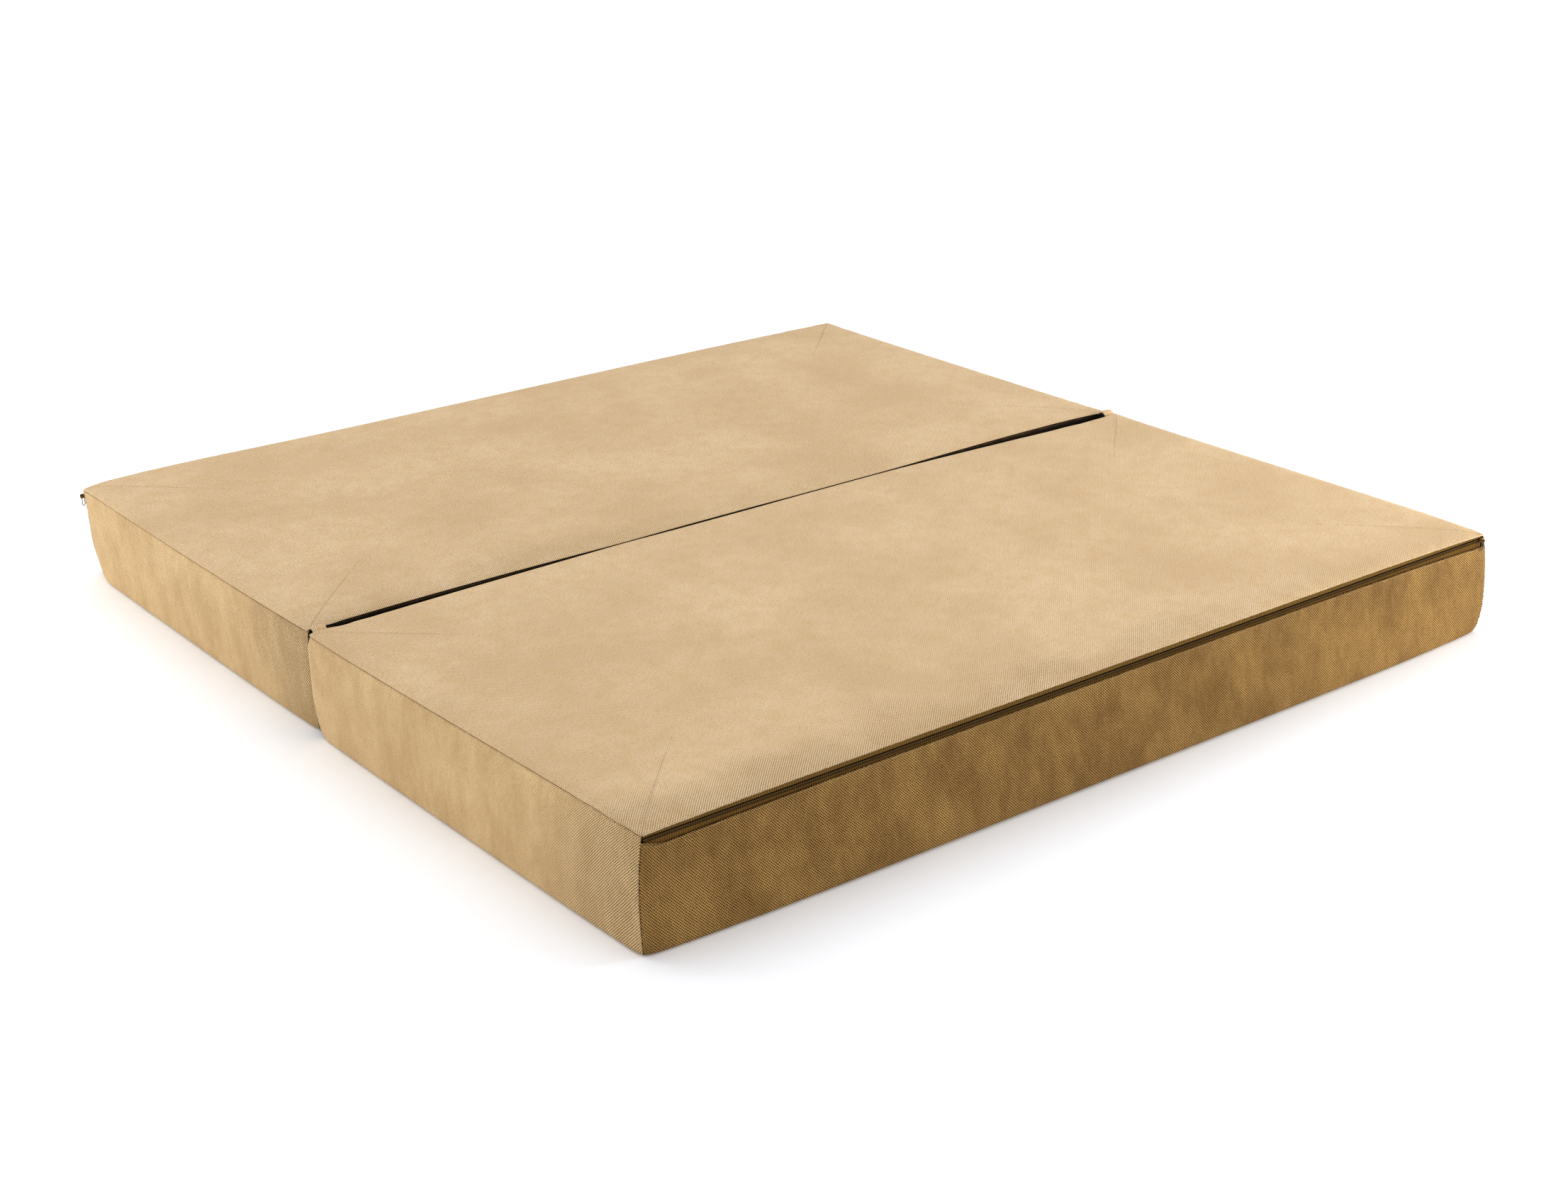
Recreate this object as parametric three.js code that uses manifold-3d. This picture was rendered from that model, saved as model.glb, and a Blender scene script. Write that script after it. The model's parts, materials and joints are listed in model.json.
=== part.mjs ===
// Fold-out sofa bed. Two boxed foam cushions lie side by side and are joined by two short cloth
// hinge tabs at their inner top corners. Each cushion has a foam core between two layers of
// wadding, in a sewn cover that opens with a long coil zip under its outer top edge.
// Lengths are in millimetres. +X runs along the cushions' long edges, +Z is up, and the front
// cushion's zip faces -Y. The origin is on the floor, under the middle of the gap.

import * as THREE from 'three';
import { mergeVertices } from 'three/addons/utils/BufferGeometryUtils.js';
import Module from 'manifold-3d';

const wasm = await Module();
wasm.setup();

// Cushion
const slabLength = 2000;
const slabWidth = 1000;
const slabHeight = 210; // at the crown, in the middle of the top
const slabGap = 22; // between the two cushions' inner corners

// How the top falls from its crown to the seam, and along the seam to the corners
const crownRise = 5; // crown above the middle of each top edge
const zipCornerDroop = 7.5; // outer corners below the middle of their edges
const hingeCornerDroop = 3; // inner corners, which the tabs hold up
const crownPower = 8;
const droopPower = 5;

// How the sides swell between the corners
const cornerRadius = 6; // upright corner seams
const innerCornerRadius = 2; // least radius inside them
const baseRadius = 15; // soft bottom edge, which has no seam
const endBow = 2.5; // top edge of each short end, in plan
const endBelly = 5; // face of each short end
const hingeBow = 6.5; // top edge on the hinge side, in plan
const hingeBelly = 2.5;
const zipBelly = 5; // the zip keeps its own edge straight
const bulgePower = 3;
const bellyPower = 0.75;

// Cover, wadding and foam
const coverThickness = 2;
const seamTurn = 4; // depth of the top panel's turned-down edge
const layerGap = 0.35; // clearance between pieces that touch
const softGap = 0.5; // clearance between soft layers
const topWaddingThickness = 10;
const baseWaddingThickness = 8;
const foamRoom = 1.5; // foam to the cover's side walls
const zipRoom = 7; // depth left free behind the zip

// Zip
const zipDrop = 16; // middle of the coil below the middle of the top edge
const bandMiddle = 23; // hem to hem, at the middle of the zip
const bandEnds = 27; // hem to hem, near its ends
const bandClosed = 14; // hem to hem, at the corner where the zip starts
const bandPower = 4;
const hemLap = 5; // tape that lies behind the lower hem
const tapeThickness = 0.8;
const tapeEndRoom = 1; // tape end to the corner's curve
const tapeTopRoom = 1; // tape's upper edge to the underside of the top panel
const coilWidth = 1.9; // each half of the coil
const coilThickness = 2;
const coilSlot = 1.7; // between the halves, where the slider's web runs

// Zip slider
const sliderLength = 14;
const sliderOverhang = 3.5; // past the end of the cushion when the zip is closed
const mouthHalf = 4.6;
const tailHalf = 3.9;
const plateThickness = 1.5;
const backPlateThickness = 1;
const backPlateHalf = 2.7;
const flangeThickness = 0.7;
const webLength = 8;
const plateChamfer = 1.5;
const postRadius = 1.3;
const postLength = 5;
const postHeadRadius = 2.3;
const postHeadThickness = 1.2;
const postSides = 12;

// Zip pull, a loop of wire that hangs on the slider's post
const pullLength = 26;
const pullWireRadius = 0.8;
const pullClearance = 0.6; // loop to the post
const pullSides = 6;
const pullArcSteps = 8;
const pullRunSteps = 4;

// Hinge tab
const tabWidth = 35; // along the bed
const tabInset = 10; // outer edge of the tab to the end of the cushion
const tabSeamInset = 1; // hinge line inside the cushion's edge
const tabThickness = 2.2;
const tabRise = 4; // crown of the tab over the gap
const tabArcSteps = 12;

// Stations along each side and rings over the top, as shares of the half lengths
const stationShares = [-1, -0.97, -0.9, -0.7, -0.35, 0, 0.35, 0.7, 0.9, 0.97, 1];
const ringShares = [1, 0.97, 0.9, 0.75, 0.4];
const wallShares = [0.35, 0.7, 1];
const baseSteps = 4;
const unionOverrun = 0.4; // how far fused pieces reach into each other

// Places that follow from the sizes
const halfLength = slabLength / 2;
const halfWidth = slabWidth / 2;
const edgeHeight = slabHeight - crownRise;
const coilHeight = edgeHeight - zipDrop;
const coilHalf = coilSlot / 2 + coilWidth;
const tapeFront = halfWidth - coverThickness - layerGap;
const tapeBack = tapeFront - tapeThickness;
const coilBack = tapeFront + layerGap;
const coilFront = coilBack + coilThickness;
const plateBack = coilFront + layerGap;
const plateFront = plateBack + plateThickness;
const pullPlane = plateFront + postLength / 2;
const sliderPlace = halfLength + sliderOverhang - sliderLength / 2;
const tapeEnd = halfLength - cornerRadius - tapeEndRoom;
const hingeLine = slabGap / 2 + tabSeamInset;

const plain = { ends: 0, zipSide: 0, hingeSide: 0 };

function fabric(color) {
  return new THREE.MeshStandardMaterial({ color, roughness: 0.95, metalness: 0 });
}

function metal(color) {
  return new THREE.MeshStandardMaterial({ color, roughness: 0.35, metalness: 0.9 });
}

// Height of the cover's top at a place on the cushion
function topHeight(x, y) {
  const acrossX = Math.min(Math.abs(x) / halfLength, 1);
  const acrossY = Math.min(Math.abs(y) / halfWidth, 1);
  const fallX = acrossX ** crownPower;
  const fallY = acrossY ** crownPower;
  const towardsHinge = THREE.MathUtils.clamp((y / halfWidth + 1) / 2, 0, 1);
  const droop = THREE.MathUtils.lerp(zipCornerDroop, hingeCornerDroop, towardsHinge);
  const edgeFall = crownRise * (fallX + fallY - fallX * fallY);
  return slabHeight - edgeFall - droop * (acrossX * acrossY) ** droopPower;
}

// Height of the hem under the zip: the band is widest near its ends and closes at the corner
// where the zip starts
function lowerHemHeight(x) {
  const along = Math.min(Math.abs(x) / halfLength, 1);
  const atStart = x <= -(halfLength - cornerRadius);
  const band = bandMiddle + (bandEnds - bandMiddle) * along ** bandPower;
  return topHeight(x, -halfWidth) - (atStart ? bandClosed : band);
}

// Plan outline of the cushion, or of a layer that is set in from it. Each point knows its side,
// how far along the side it lies and which way is out.
function outline(inset) {
  const nearest = Math.min(inset.ends, inset.zipSide, inset.hingeSide);
  const radius = Math.max(cornerRadius - nearest, innerCornerRadius);
  const endX = halfLength - inset.ends;
  const zipY = -(halfWidth - inset.zipSide);
  const hingeY = halfWidth - inset.hingeSide;
  const reachX = endX - radius;
  const middleY = (zipY + hingeY) / 2;
  const reachY = (hingeY - zipY) / 2 - radius;
  const diagonal = radius * Math.SQRT1_2;
  const sides = [
    { name: 'zip', at: (share) => [reachX * share, zipY], out: [0, -1], corner: [1, -1] },
    { name: 'farEnd', at: (share) => [endX, middleY + reachY * share], out: [1, 0], corner: [1, 1] },
    { name: 'hinge', at: (share) => [-reachX * share, hingeY], out: [0, 1], corner: [-1, 1] },
    { name: 'nearEnd', at: (share) => [-endX, middleY - reachY * share], out: [-1, 0],
      corner: [-1, -1] },
  ];
  const points = [];
  for (const side of sides) {
    for (const share of stationShares) {
      const [x, y] = side.at(share);
      points.push({ x, y, share, side: side.name, out: side.out });
    }
    const [signX, signY] = side.corner;
    points.push({
      x: signX * (reachX + diagonal),
      y: middleY + signY * (reachY + diagonal),
      share: 1,
      side: `${side.name}Corner`,
      out: [signX * Math.SQRT1_2, signY * Math.SQRT1_2],
    });
  }
  return points;
}

const bows = { zip: 0, hinge: hingeBow, farEnd: endBow, nearEnd: endBow };
const bellies = { zip: zipBelly, hinge: hingeBelly, farEnd: endBelly, nearEnd: endBelly };

// How far the cover swells outwards at a point of the outline and a height
function swell(point, height) {
  if (!(point.side in bows)) return 0;
  const fullness = 1 - Math.abs(point.share) ** bulgePower;
  const lift = THREE.MathUtils.clamp(height / edgeHeight, 0, 1);
  const belly = bellies[point.side] * Math.sin(Math.PI * lift ** bellyPower);
  return fullness * (bows[point.side] + belly);
}

// One ring of the outline, with its height given for each point
function ringAt(inset, heightOf) {
  return outline(inset).map((point) => {
    const height = heightOf(point);
    const out = swell(point, height);
    return new THREE.Vector3(point.x + point.out[0] * out, point.y + point.out[1] * out, height);
  });
}

// Rings that climb or fall over the crowned top, a given depth under the cover's outer surface
function crownRings(inset, depth) {
  const rim = ringAt(inset, () => edgeHeight);
  return ringShares.map((share) => rim.map((point) => {
    const [x, y] = [point.x * share, point.y * share];
    return new THREE.Vector3(x, y, topHeight(x, y) - depth);
  }));
}

// Inset of the rounded bottom edge at a height, for a layer that lies a skin inside the cover
function baseInset(skin, height) {
  const radius = baseRadius - skin;
  const rise = Math.min(Math.max(baseRadius - height, 0), radius);
  return baseRadius - Math.sqrt(radius * radius - rise * rise);
}

// Rings from the flat base round the soft bottom edge
function baseRings(skin, extra) {
  const rings = [];
  for (let step = 0; step <= baseSteps; step += 1) {
    const angle = (step / baseSteps) * Math.PI / 2;
    const height = baseRadius - (baseRadius - skin) * Math.cos(angle);
    rings.push(ringAt(widen(extra, baseInset(skin, height)), () => height));
  }
  return rings;
}

function widen(inset, amount) {
  return {
    ends: inset.ends + amount,
    zipSide: inset.zipSide + amount,
    hingeSide: inset.hingeSide + amount,
  };
}

function asGeometry(positions, indices) {
  const geometry = new THREE.BufferGeometry();
  geometry.setAttribute('position', new THREE.Float32BufferAttribute(positions, 3));
  geometry.setIndex(volumeOf(positions, indices) < 0 ? flipped(indices) : indices);
  geometry.computeVertexNormals();
  return geometry;
}

function volumeOf(positions, indices) {
  const corner = (index) => new THREE.Vector3().fromArray(positions, index * 3);
  let sum = 0;
  for (let i = 0; i < indices.length; i += 3) {
    const [a, b, c] = [corner(indices[i]), corner(indices[i + 1]), corner(indices[i + 2])];
    sum += a.dot(b.cross(c));
  }
  return sum;
}

function flipped(indices) {
  const turned = [];
  for (let i = 0; i < indices.length; i += 3) turned.push(indices[i], indices[i + 2], indices[i + 1]);
  return turned;
}

// A closed solid through a row of rings of equal length, with a fan over the first and the last
function ringSolid(rings) {
  const count = rings[0].length;
  const positions = rings.flat().flatMap((point) => point.toArray());
  const indices = [];
  for (let row = 0; row < rings.length - 1; row += 1) {
    for (let i = 0; i < count; i += 1) {
      const next = (i + 1) % count;
      const [a, b] = [row * count + i, row * count + next];
      indices.push(a, b, b + count, a, b + count, a + count);
    }
  }
  const cap = (row, towardsStart) => {
    const centre = new THREE.Vector3();
    rings[row].forEach((point) => centre.add(point));
    centre.divideScalar(count);
    const middle = positions.length / 3;
    positions.push(...centre.toArray());
    for (let i = 0; i < count; i += 1) {
      const [a, b] = [row * count + i, row * count + ((i + 1) % count)];
      indices.push(...(towardsStart ? [middle, b, a] : [middle, a, b]));
    }
  };
  cap(0, true);
  cap(rings.length - 1, false);
  return asGeometry(positions, indices);
}

function toManifold(geometry) {
  const bare = geometry.clone();
  bare.deleteAttribute('normal');
  bare.deleteAttribute('uv');
  const merged = mergeVertices(bare);
  return new wasm.Manifold(new wasm.Mesh({
    numProp: 3,
    vertProperties: new Float32Array(merged.attributes.position.array),
    triVerts: new Uint32Array(merged.index.array),
  }));
}

function fuse(geometries) {
  const solid = geometries.map(toManifold).reduce((sum, piece) => sum.add(piece));
  const mesh = solid.getMesh();
  return asGeometry(Array.from(mesh.vertProperties), Array.from(mesh.triVerts));
}

function boxBetween(low, high) {
  const size = high.clone().sub(low);
  const middle = low.clone().add(high).divideScalar(2);
  return new THREE.BoxGeometry(size.x, size.y, size.z).translate(middle.x, middle.y, middle.z);
}

// Cover: a crowned top panel with its edge turned down, on a tray that is side and base in one
function topPanel() {
  const inside = widen(plain, coverThickness);
  const turned = (inset) => ringAt(inset, ({ x, y }) => topHeight(x, y) - seamTurn);
  return ringSolid([
    ...crownRings(plain, 0).reverse(),
    turned(plain),
    turned(inside),
    ...crownRings(inside, coverThickness),
  ]);
}

// Top of the tray's wall: under the top panel's edge, and lower along the zip
function wallTop(point) {
  const underPanel = topHeight(point.x, point.y) - seamTurn - layerGap;
  const alongZip = point.side === 'zip' || point.side === 'zipCorner';
  return alongZip ? Math.min(lowerHemHeight(point.x), underPanel) : underPanel;
}

function wallRings(inset, topOf) {
  return wallShares.map((share) =>
    ringAt(inset, (point) => THREE.MathUtils.lerp(baseRadius, topOf(point), share)));
}

function sideAndBasePanel() {
  return ringSolid([
    ...baseRings(0, plain),
    ...wallRings(plain, wallTop),
    ...wallRings(widen(plain, coverThickness), wallTop).reverse(),
    ...baseRings(coverThickness, plain).reverse(),
  ]);
}

// Wadding and foam fill the cover
const fillInset = {
  ends: coverThickness + foamRoom,
  zipSide: zipRoom,
  hingeSide: coverThickness + foamRoom,
};
const topWaddingDepth = coverThickness + softGap;
const foamTopDepth = topWaddingDepth + topWaddingThickness + softGap;
const baseWaddingFloor = coverThickness + softGap;
const baseWaddingTop = baseWaddingFloor + baseWaddingThickness;
const foamFloor = baseWaddingTop + softGap;

function topWadding() {
  return ringSolid([
    ...crownRings(fillInset, topWaddingDepth).reverse(),
    ...crownRings(fillInset, topWaddingDepth + topWaddingThickness),
  ]);
}

function fillRing(height) {
  const skin = coverThickness + softGap;
  return ringAt(widen(fillInset, baseInset(skin, height) - skin), () => height);
}

function baseWadding() {
  return ringSolid([fillRing(baseWaddingFloor), fillRing(baseWaddingTop)]);
}

function foamCore() {
  const foamTop = (point) => topHeight(point.x, point.y) - foamTopDepth;
  return ringSolid([
    fillRing(foamFloor),
    fillRing(baseRadius),
    ...wallRings(fillInset, foamTop).slice(0, -1),
    ...crownRings(fillInset, foamTopDepth),
  ]);
}

// Zip tapes and coils run straight along the outer top edge
function zipBand(back, front, lowOf, highOf) {
  return ringSolid(stationShares.map((share) => {
    const x = share * tapeEnd;
    const corner = (depth, height) => new THREE.Vector3(x, -depth, height);
    return [
      corner(back, lowOf(x)), corner(front, lowOf(x)),
      corner(front, highOf(x)), corner(back, highOf(x)),
    ];
  }));
}

function upperTape() {
  const top = (x) => topHeight(x, -halfWidth) - coverThickness - tapeTopRoom;
  return zipBand(tapeBack, tapeFront, () => coilHeight + coilSlot / 2, top);
}

function lowerTape() {
  const bottom = (x) => lowerHemHeight(x) - hemLap;
  return zipBand(tapeBack, tapeFront, bottom, () => coilHeight - coilSlot / 2);
}

function coil(sign) {
  const [near, far] = [coilHeight + sign * coilSlot / 2, coilHeight + sign * coilHalf];
  return zipBand(coilBack, coilFront, () => Math.min(near, far), () => Math.max(near, far));
}

// Slider: a front plate with two flanges, a back plate, the web between the coils that joins
// them, and a headed post for the pull
function slider() {
  const half = sliderLength / 2;
  const face = new THREE.Shape([
    new THREE.Vector2(-half, -tailHalf + plateChamfer),
    new THREE.Vector2(-half + plateChamfer, -tailHalf),
    new THREE.Vector2(half - plateChamfer, -mouthHalf),
    new THREE.Vector2(half, -mouthHalf + plateChamfer),
    new THREE.Vector2(half, mouthHalf - plateChamfer),
    new THREE.Vector2(half - plateChamfer, mouthHalf),
    new THREE.Vector2(-half + plateChamfer, tailHalf),
    new THREE.Vector2(-half, tailHalf - plateChamfer),
  ]);
  const plate = new THREE.ExtrudeGeometry(face, { depth: plateThickness, bevelEnabled: false });
  plate.rotateX(Math.PI / 2).translate(0, -plateBack, 0);
  const backFace = tapeBack - layerGap;
  const backPlate = boxBetween(
    new THREE.Vector3(-half, -backFace, -backPlateHalf),
    new THREE.Vector3(half, -backFace + backPlateThickness, backPlateHalf),
  );
  const webHalf = coilSlot / 2 - layerGap;
  const web = boxBetween(
    new THREE.Vector3(-webLength / 2, -plateBack - unionOverrun, -webHalf),
    new THREE.Vector3(webLength / 2, -backFace + unionOverrun, webHalf),
  );
  const flangeNear = coilHalf + layerGap;
  const flanges = [-1, 1].map((sign) => boxBetween(
    new THREE.Vector3(-half + plateChamfer, -plateBack - unionOverrun,
      Math.min(sign * flangeNear, sign * (flangeNear + flangeThickness))),
    new THREE.Vector3(half - plateChamfer, -coilBack,
      Math.max(sign * flangeNear, sign * (flangeNear + flangeThickness))),
  ));
  const post = new THREE.CylinderGeometry(postRadius, postRadius, postLength + 2 * unionOverrun, postSides);
  post.translate(0, -plateFront - postLength / 2, 0);
  const head = new THREE.CylinderGeometry(postHeadRadius, postHeadRadius, postHeadThickness, postSides);
  head.translate(0, -plateFront - postLength - postHeadThickness / 2, 0);
  return fuse([plate, backPlate, web, ...flanges, post, head]);
}

// Pull: a closed loop of wire in a plane parallel to the cushion's face, hanging on the post
function pull() {
  const bend = postRadius + pullClearance + pullWireRadius;
  const run = pullLength - 2 * (bend + pullWireRadius);
  const path = [];
  const addHalf = (side, drop) => {
    for (let step = 0; step < pullArcSteps; step += 1) {
      const angle = (step / pullArcSteps) * Math.PI;
      const [outX, outZ] = [side * Math.cos(angle), side * Math.sin(angle)];
      path.push({ x: bend * outX, z: bend * outZ - drop, outX, outZ });
    }
    for (let step = 0; step < pullRunSteps; step += 1) {
      const share = step / pullRunSteps;
      path.push({ x: -side * bend, z: -drop - side * run * share, outX: -side, outZ: 0 });
    }
  };
  addHalf(1, 0);
  addHalf(-1, run);
  const positions = [];
  const indices = [];
  path.forEach((point, index) => {
    const next = (index + 1) % path.length;
    for (let side = 0; side < pullSides; side += 1) {
      const angle = (side / pullSides) * 2 * Math.PI;
      const [across, depth] = [pullWireRadius * Math.cos(angle), pullWireRadius * Math.sin(angle)];
      positions.push(point.x + point.outX * across, depth, point.z + point.outZ * across);
      const turn = (side + 1) % pullSides;
      const [a, b] = [index * pullSides + side, index * pullSides + turn];
      const [c, d] = [next * pullSides + turn, next * pullSides + side];
      indices.push(a, b, c, a, c, d);
    }
  });
  return asGeometry(positions, indices);
}

// Hinge tab: a short strip of cover cloth that arches over the gap between its two seams
const tabInnerEnd = halfLength - tabInset - tabWidth;
const tabSeat = topHeight(tabInnerEnd, halfWidth - tabSeamInset - tabThickness / 2);
const hingeHeight = tabSeat + tabThickness / 2 + layerGap;

function hingeTab() {
  const radius = (hingeLine * hingeLine + tabRise * tabRise) / (2 * tabRise);
  const spread = Math.asin(hingeLine / radius);
  const [start, end] = [Math.PI / 2 - spread, Math.PI / 2 + spread];
  const centre = tabRise - radius;
  const strip = new THREE.Shape();
  strip.absarc(0, centre, radius + tabThickness / 2, start, end, false);
  strip.absarc(-hingeLine, 0, tabThickness / 2, end, end + Math.PI, false);
  strip.absarc(0, centre, radius - tabThickness / 2, end, start, true);
  strip.absarc(hingeLine, 0, tabThickness / 2, start + Math.PI, start + 2 * Math.PI, false);
  const solid = new THREE.ExtrudeGeometry(strip, {
    depth: tabWidth, bevelEnabled: false, curveSegments: tabArcSteps,
  });
  const [x, y, z] = [0, 1, 2].map((axis) => new THREE.Vector3().setComponent(axis, 1));
  return solid.applyMatrix4(new THREE.Matrix4().makeBasis(y, z, x)).translate(-tabWidth / 2, 0, 0);
}

const coverTop = fabric(0xdec496);
const coverSide = fabric(0xbe965a);
const waddingWhite = fabric(0xefece4);
const foamCream = fabric(0xe9dfc0);
const tapeOlive = fabric(0x8c692d);
const coilDark = new THREE.MeshStandardMaterial({ color: 0x35261a, roughness: 0.5, metalness: 0 });
const sliderBrass = metal(0x8a7040);
const pullNickel = metal(0xc9bda6);

function addPiece(group, name, geometry, material) {
  const mesh = new THREE.Mesh(geometry, material.clone());
  mesh.name = name;
  group.add(mesh);
  return mesh;
}

// One cushion, in its own frame, with its zip facing -Y
function cushion(name) {
  const slab = new THREE.Group();
  addPiece(slab, `${name}_foam_core`, foamCore(), foamCream);
  addPiece(slab, `${name}_top_wadding`, topWadding(), waddingWhite);
  addPiece(slab, `${name}_base_wadding`, baseWadding(), waddingWhite);
  addPiece(slab, `${name}_top_panel`, topPanel(), coverTop);
  addPiece(slab, `${name}_side_and_base_panel`, sideAndBasePanel(), coverSide);
  addPiece(slab, `${name}_zip_upper_tape`, upperTape(), tapeOlive);
  addPiece(slab, `${name}_zip_lower_tape`, lowerTape(), tapeOlive);
  addPiece(slab, `${name}_zip_upper_coil`, coil(1), coilDark);
  addPiece(slab, `${name}_zip_lower_coil`, coil(-1), coilDark);
  addPiece(slab, `${name}_zip_slider`, slider(), sliderBrass).position.set(sliderPlace, 0, coilHeight);
  addPiece(slab, `${name}_zip_pull`, pull(), pullNickel).position.set(sliderPlace, -pullPlane, coilHeight);
  return slab;
}

const sofaBed = new THREE.Group();
const slabPlace = (slabGap + slabWidth) / 2;

const front = cushion('front');
front.position.y = -slabPlace;
sofaBed.add(front);

// The rear cushion is the same one turned half round, so that its zip faces away
const rear = cushion('rear');
rear.position.y = slabPlace;
rear.rotation.z = Math.PI;
sofaBed.add(rear);

for (const [name, sign] of [['near', -1], ['far', 1]]) {
  const tab = addPiece(sofaBed, `${name}_hinge_tab`, hingeTab(), coverTop);
  tab.position.set(sign * (tabInnerEnd + tabWidth / 2), 0, hingeHeight);
}

export default sofaBed;
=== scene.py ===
# %% [markdown]
# # A fold-out sofa bed
# The object is a pair of boxed foam cushions, sewn into heavy golden tan cloth and joined by two
# short cloth tabs. The CAD part has already settled where every piece is and how it moves. This
# lesson keeps that frame as it is and makes what the eye sees: crowned and puckered cloth, woven
# tapes, coiled zips, rows of stitches and a soft studio light.

# %% Load the frame
import json
import math

import bpy
import numpy as np
from mathutils import Matrix, Vector, noise
from mathutils.bvhtree import BVHTree

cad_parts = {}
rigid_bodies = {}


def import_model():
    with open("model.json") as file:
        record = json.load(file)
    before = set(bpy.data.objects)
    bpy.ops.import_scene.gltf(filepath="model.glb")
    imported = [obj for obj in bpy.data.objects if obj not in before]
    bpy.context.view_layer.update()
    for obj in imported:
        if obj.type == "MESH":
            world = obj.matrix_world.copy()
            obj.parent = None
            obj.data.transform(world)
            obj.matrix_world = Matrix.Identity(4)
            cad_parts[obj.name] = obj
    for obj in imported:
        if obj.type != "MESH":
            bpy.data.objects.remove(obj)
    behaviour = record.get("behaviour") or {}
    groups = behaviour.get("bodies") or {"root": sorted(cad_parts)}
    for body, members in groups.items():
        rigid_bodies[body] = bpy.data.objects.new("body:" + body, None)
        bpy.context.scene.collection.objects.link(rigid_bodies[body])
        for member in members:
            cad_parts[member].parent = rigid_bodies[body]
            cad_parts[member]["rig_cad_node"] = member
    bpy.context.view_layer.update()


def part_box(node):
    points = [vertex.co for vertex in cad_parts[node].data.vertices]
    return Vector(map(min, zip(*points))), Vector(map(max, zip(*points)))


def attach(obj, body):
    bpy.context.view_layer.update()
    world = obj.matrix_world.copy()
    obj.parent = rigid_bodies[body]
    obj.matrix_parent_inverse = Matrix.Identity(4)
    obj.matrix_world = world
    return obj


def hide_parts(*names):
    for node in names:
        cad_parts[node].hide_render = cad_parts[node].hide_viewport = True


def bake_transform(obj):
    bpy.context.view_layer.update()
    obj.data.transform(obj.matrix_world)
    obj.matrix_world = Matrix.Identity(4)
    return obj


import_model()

# %% [markdown]
# ## Camera
# A camera is a place, a direction and a focal length. A product photograph is taken with a long
# lens from a few metres away, so that the long edges hardly converge. The numbers here were found
# by matching the corners, hems and seams of two cushions of known size with the picture. The
# focal length is given in pixels of a picture 2212 pixels wide, and turned into millimetres for
# Blender's 36 mm sensor.

# %% Camera
IMAGE_WIDTH = 2212
FOCAL_PIXELS = 3417.9
SENSOR_WIDTH = 36.0
AZIMUTH = math.radians(-37.758)
ELEVATION = math.radians(21.519)
ROLL = math.radians(-0.813)
DISTANCE = 4.9501
AIM_RIGHT = 0.0518
AIM_UP = 0.0312


def place_camera():
    """Looks at the origin from the given side, moved a little so that the bed sits as framed."""
    back = Vector((
        math.sin(AZIMUTH) * math.cos(ELEVATION),
        -math.cos(AZIMUTH) * math.cos(ELEVATION),
        math.sin(ELEVATION),
    ))
    level = Vector((0, 0, 1)).cross(back).normalized()
    upright = back.cross(level)
    place = back * DISTANCE + level * AIM_RIGHT + upright * AIM_UP
    right = level * math.cos(ROLL) + upright * math.sin(ROLL)
    up = upright * math.cos(ROLL) - level * math.sin(ROLL)
    turn = Matrix((right, up, back)).transposed().to_4x4()
    data = bpy.data.cameras.new("camera")
    data.sensor_width = SENSOR_WIDTH
    data.sensor_fit = "HORIZONTAL"
    data.lens = FOCAL_PIXELS / IMAGE_WIDTH * SENSOR_WIDTH
    camera = bpy.data.objects.new("camera", data)
    bpy.context.scene.collection.objects.link(camera)
    camera.matrix_world = Matrix.Translation(place) @ turn
    bpy.context.scene.camera = camera
    return camera


camera = place_camera()
print("lens in millimetres:", round(camera.data.lens, 2))

# %% [markdown]
# ## The shape of one cushion
# Both cushions are the same piece of sewing, so one set of functions describes a cushion in its
# own frame: the zip faces -Y, the tabs are at +Y, and the rear cushion is the same one turned
# half round. The top falls from a low crown to its edge, and a little further to each corner,
# where the foam is compressed by the seams.

# %% Sizes of a cushion
HALF_LENGTH = 1.0
HALF_WIDTH = 0.5
EDGE_HEIGHT = 0.205  # middle of each top edge
CROWN = 0.003
INNER_RISE = 0.0085  # the two cushions push each other up along the gap
ZIP_RISE = {"front": 0.0, "rear": 0.0025}
PLUMP_CORNER = {"front": 0.0, "rear": 0.007}  # the foam stands up beside the slider
END_SAG = {"front": 0.0, "rear": 0.003}
ZIP_CORNER_FALL = {"front": 0.0045, "rear": 0.001}
HINGE_CORNER_FALL = {"front": -0.002, "rear": 0.0015}  # corners held up by the tabs
TIRED_CORNER_FALL = {"front": 0.001, "rear": 0.007}  # corner over the slider
TAB_PLUMP = {"front": 0.005, "rear": 0.0}  # the cloth bunches up beside the near tab
HALF_PITCH = 0.511  # middle of the bed to the middle of a cushion
TURN = {"front": 1, "rear": -1}

# Powers of the distance from the middle, as a share: a high one keeps the change close to the edge
CROWN_POWER, RISE_POWER, SAG_POWER, CORNER_FALL_POWER = 8, 4, 10, 5
TIRED_POWER_X, TIRED_POWER_Y = 36, 18
TAB_PLUMP_POWER = 12
PLUMP_PLACE, PLUMP_REACH = 0.85, 0.3  # along the cushion
TAB_PLUMP_PLACE, TAB_PLUMP_REACH = -0.975, 0.018


def to_bed(cushion, points):
    """Turns points of a cushion's own frame into points of the bed."""
    sign = TURN[cushion]
    moved = np.array(points, float) * (sign, sign, 1)
    return moved - (0, sign * HALF_PITCH, 0)


def mix(a, b, share):
    return a + (b - a) * share


def smooth_step(low, high, value):
    share = np.clip((value - low) / (high - low), 0, 1)
    return share * share * (3 - 2 * share)


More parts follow.
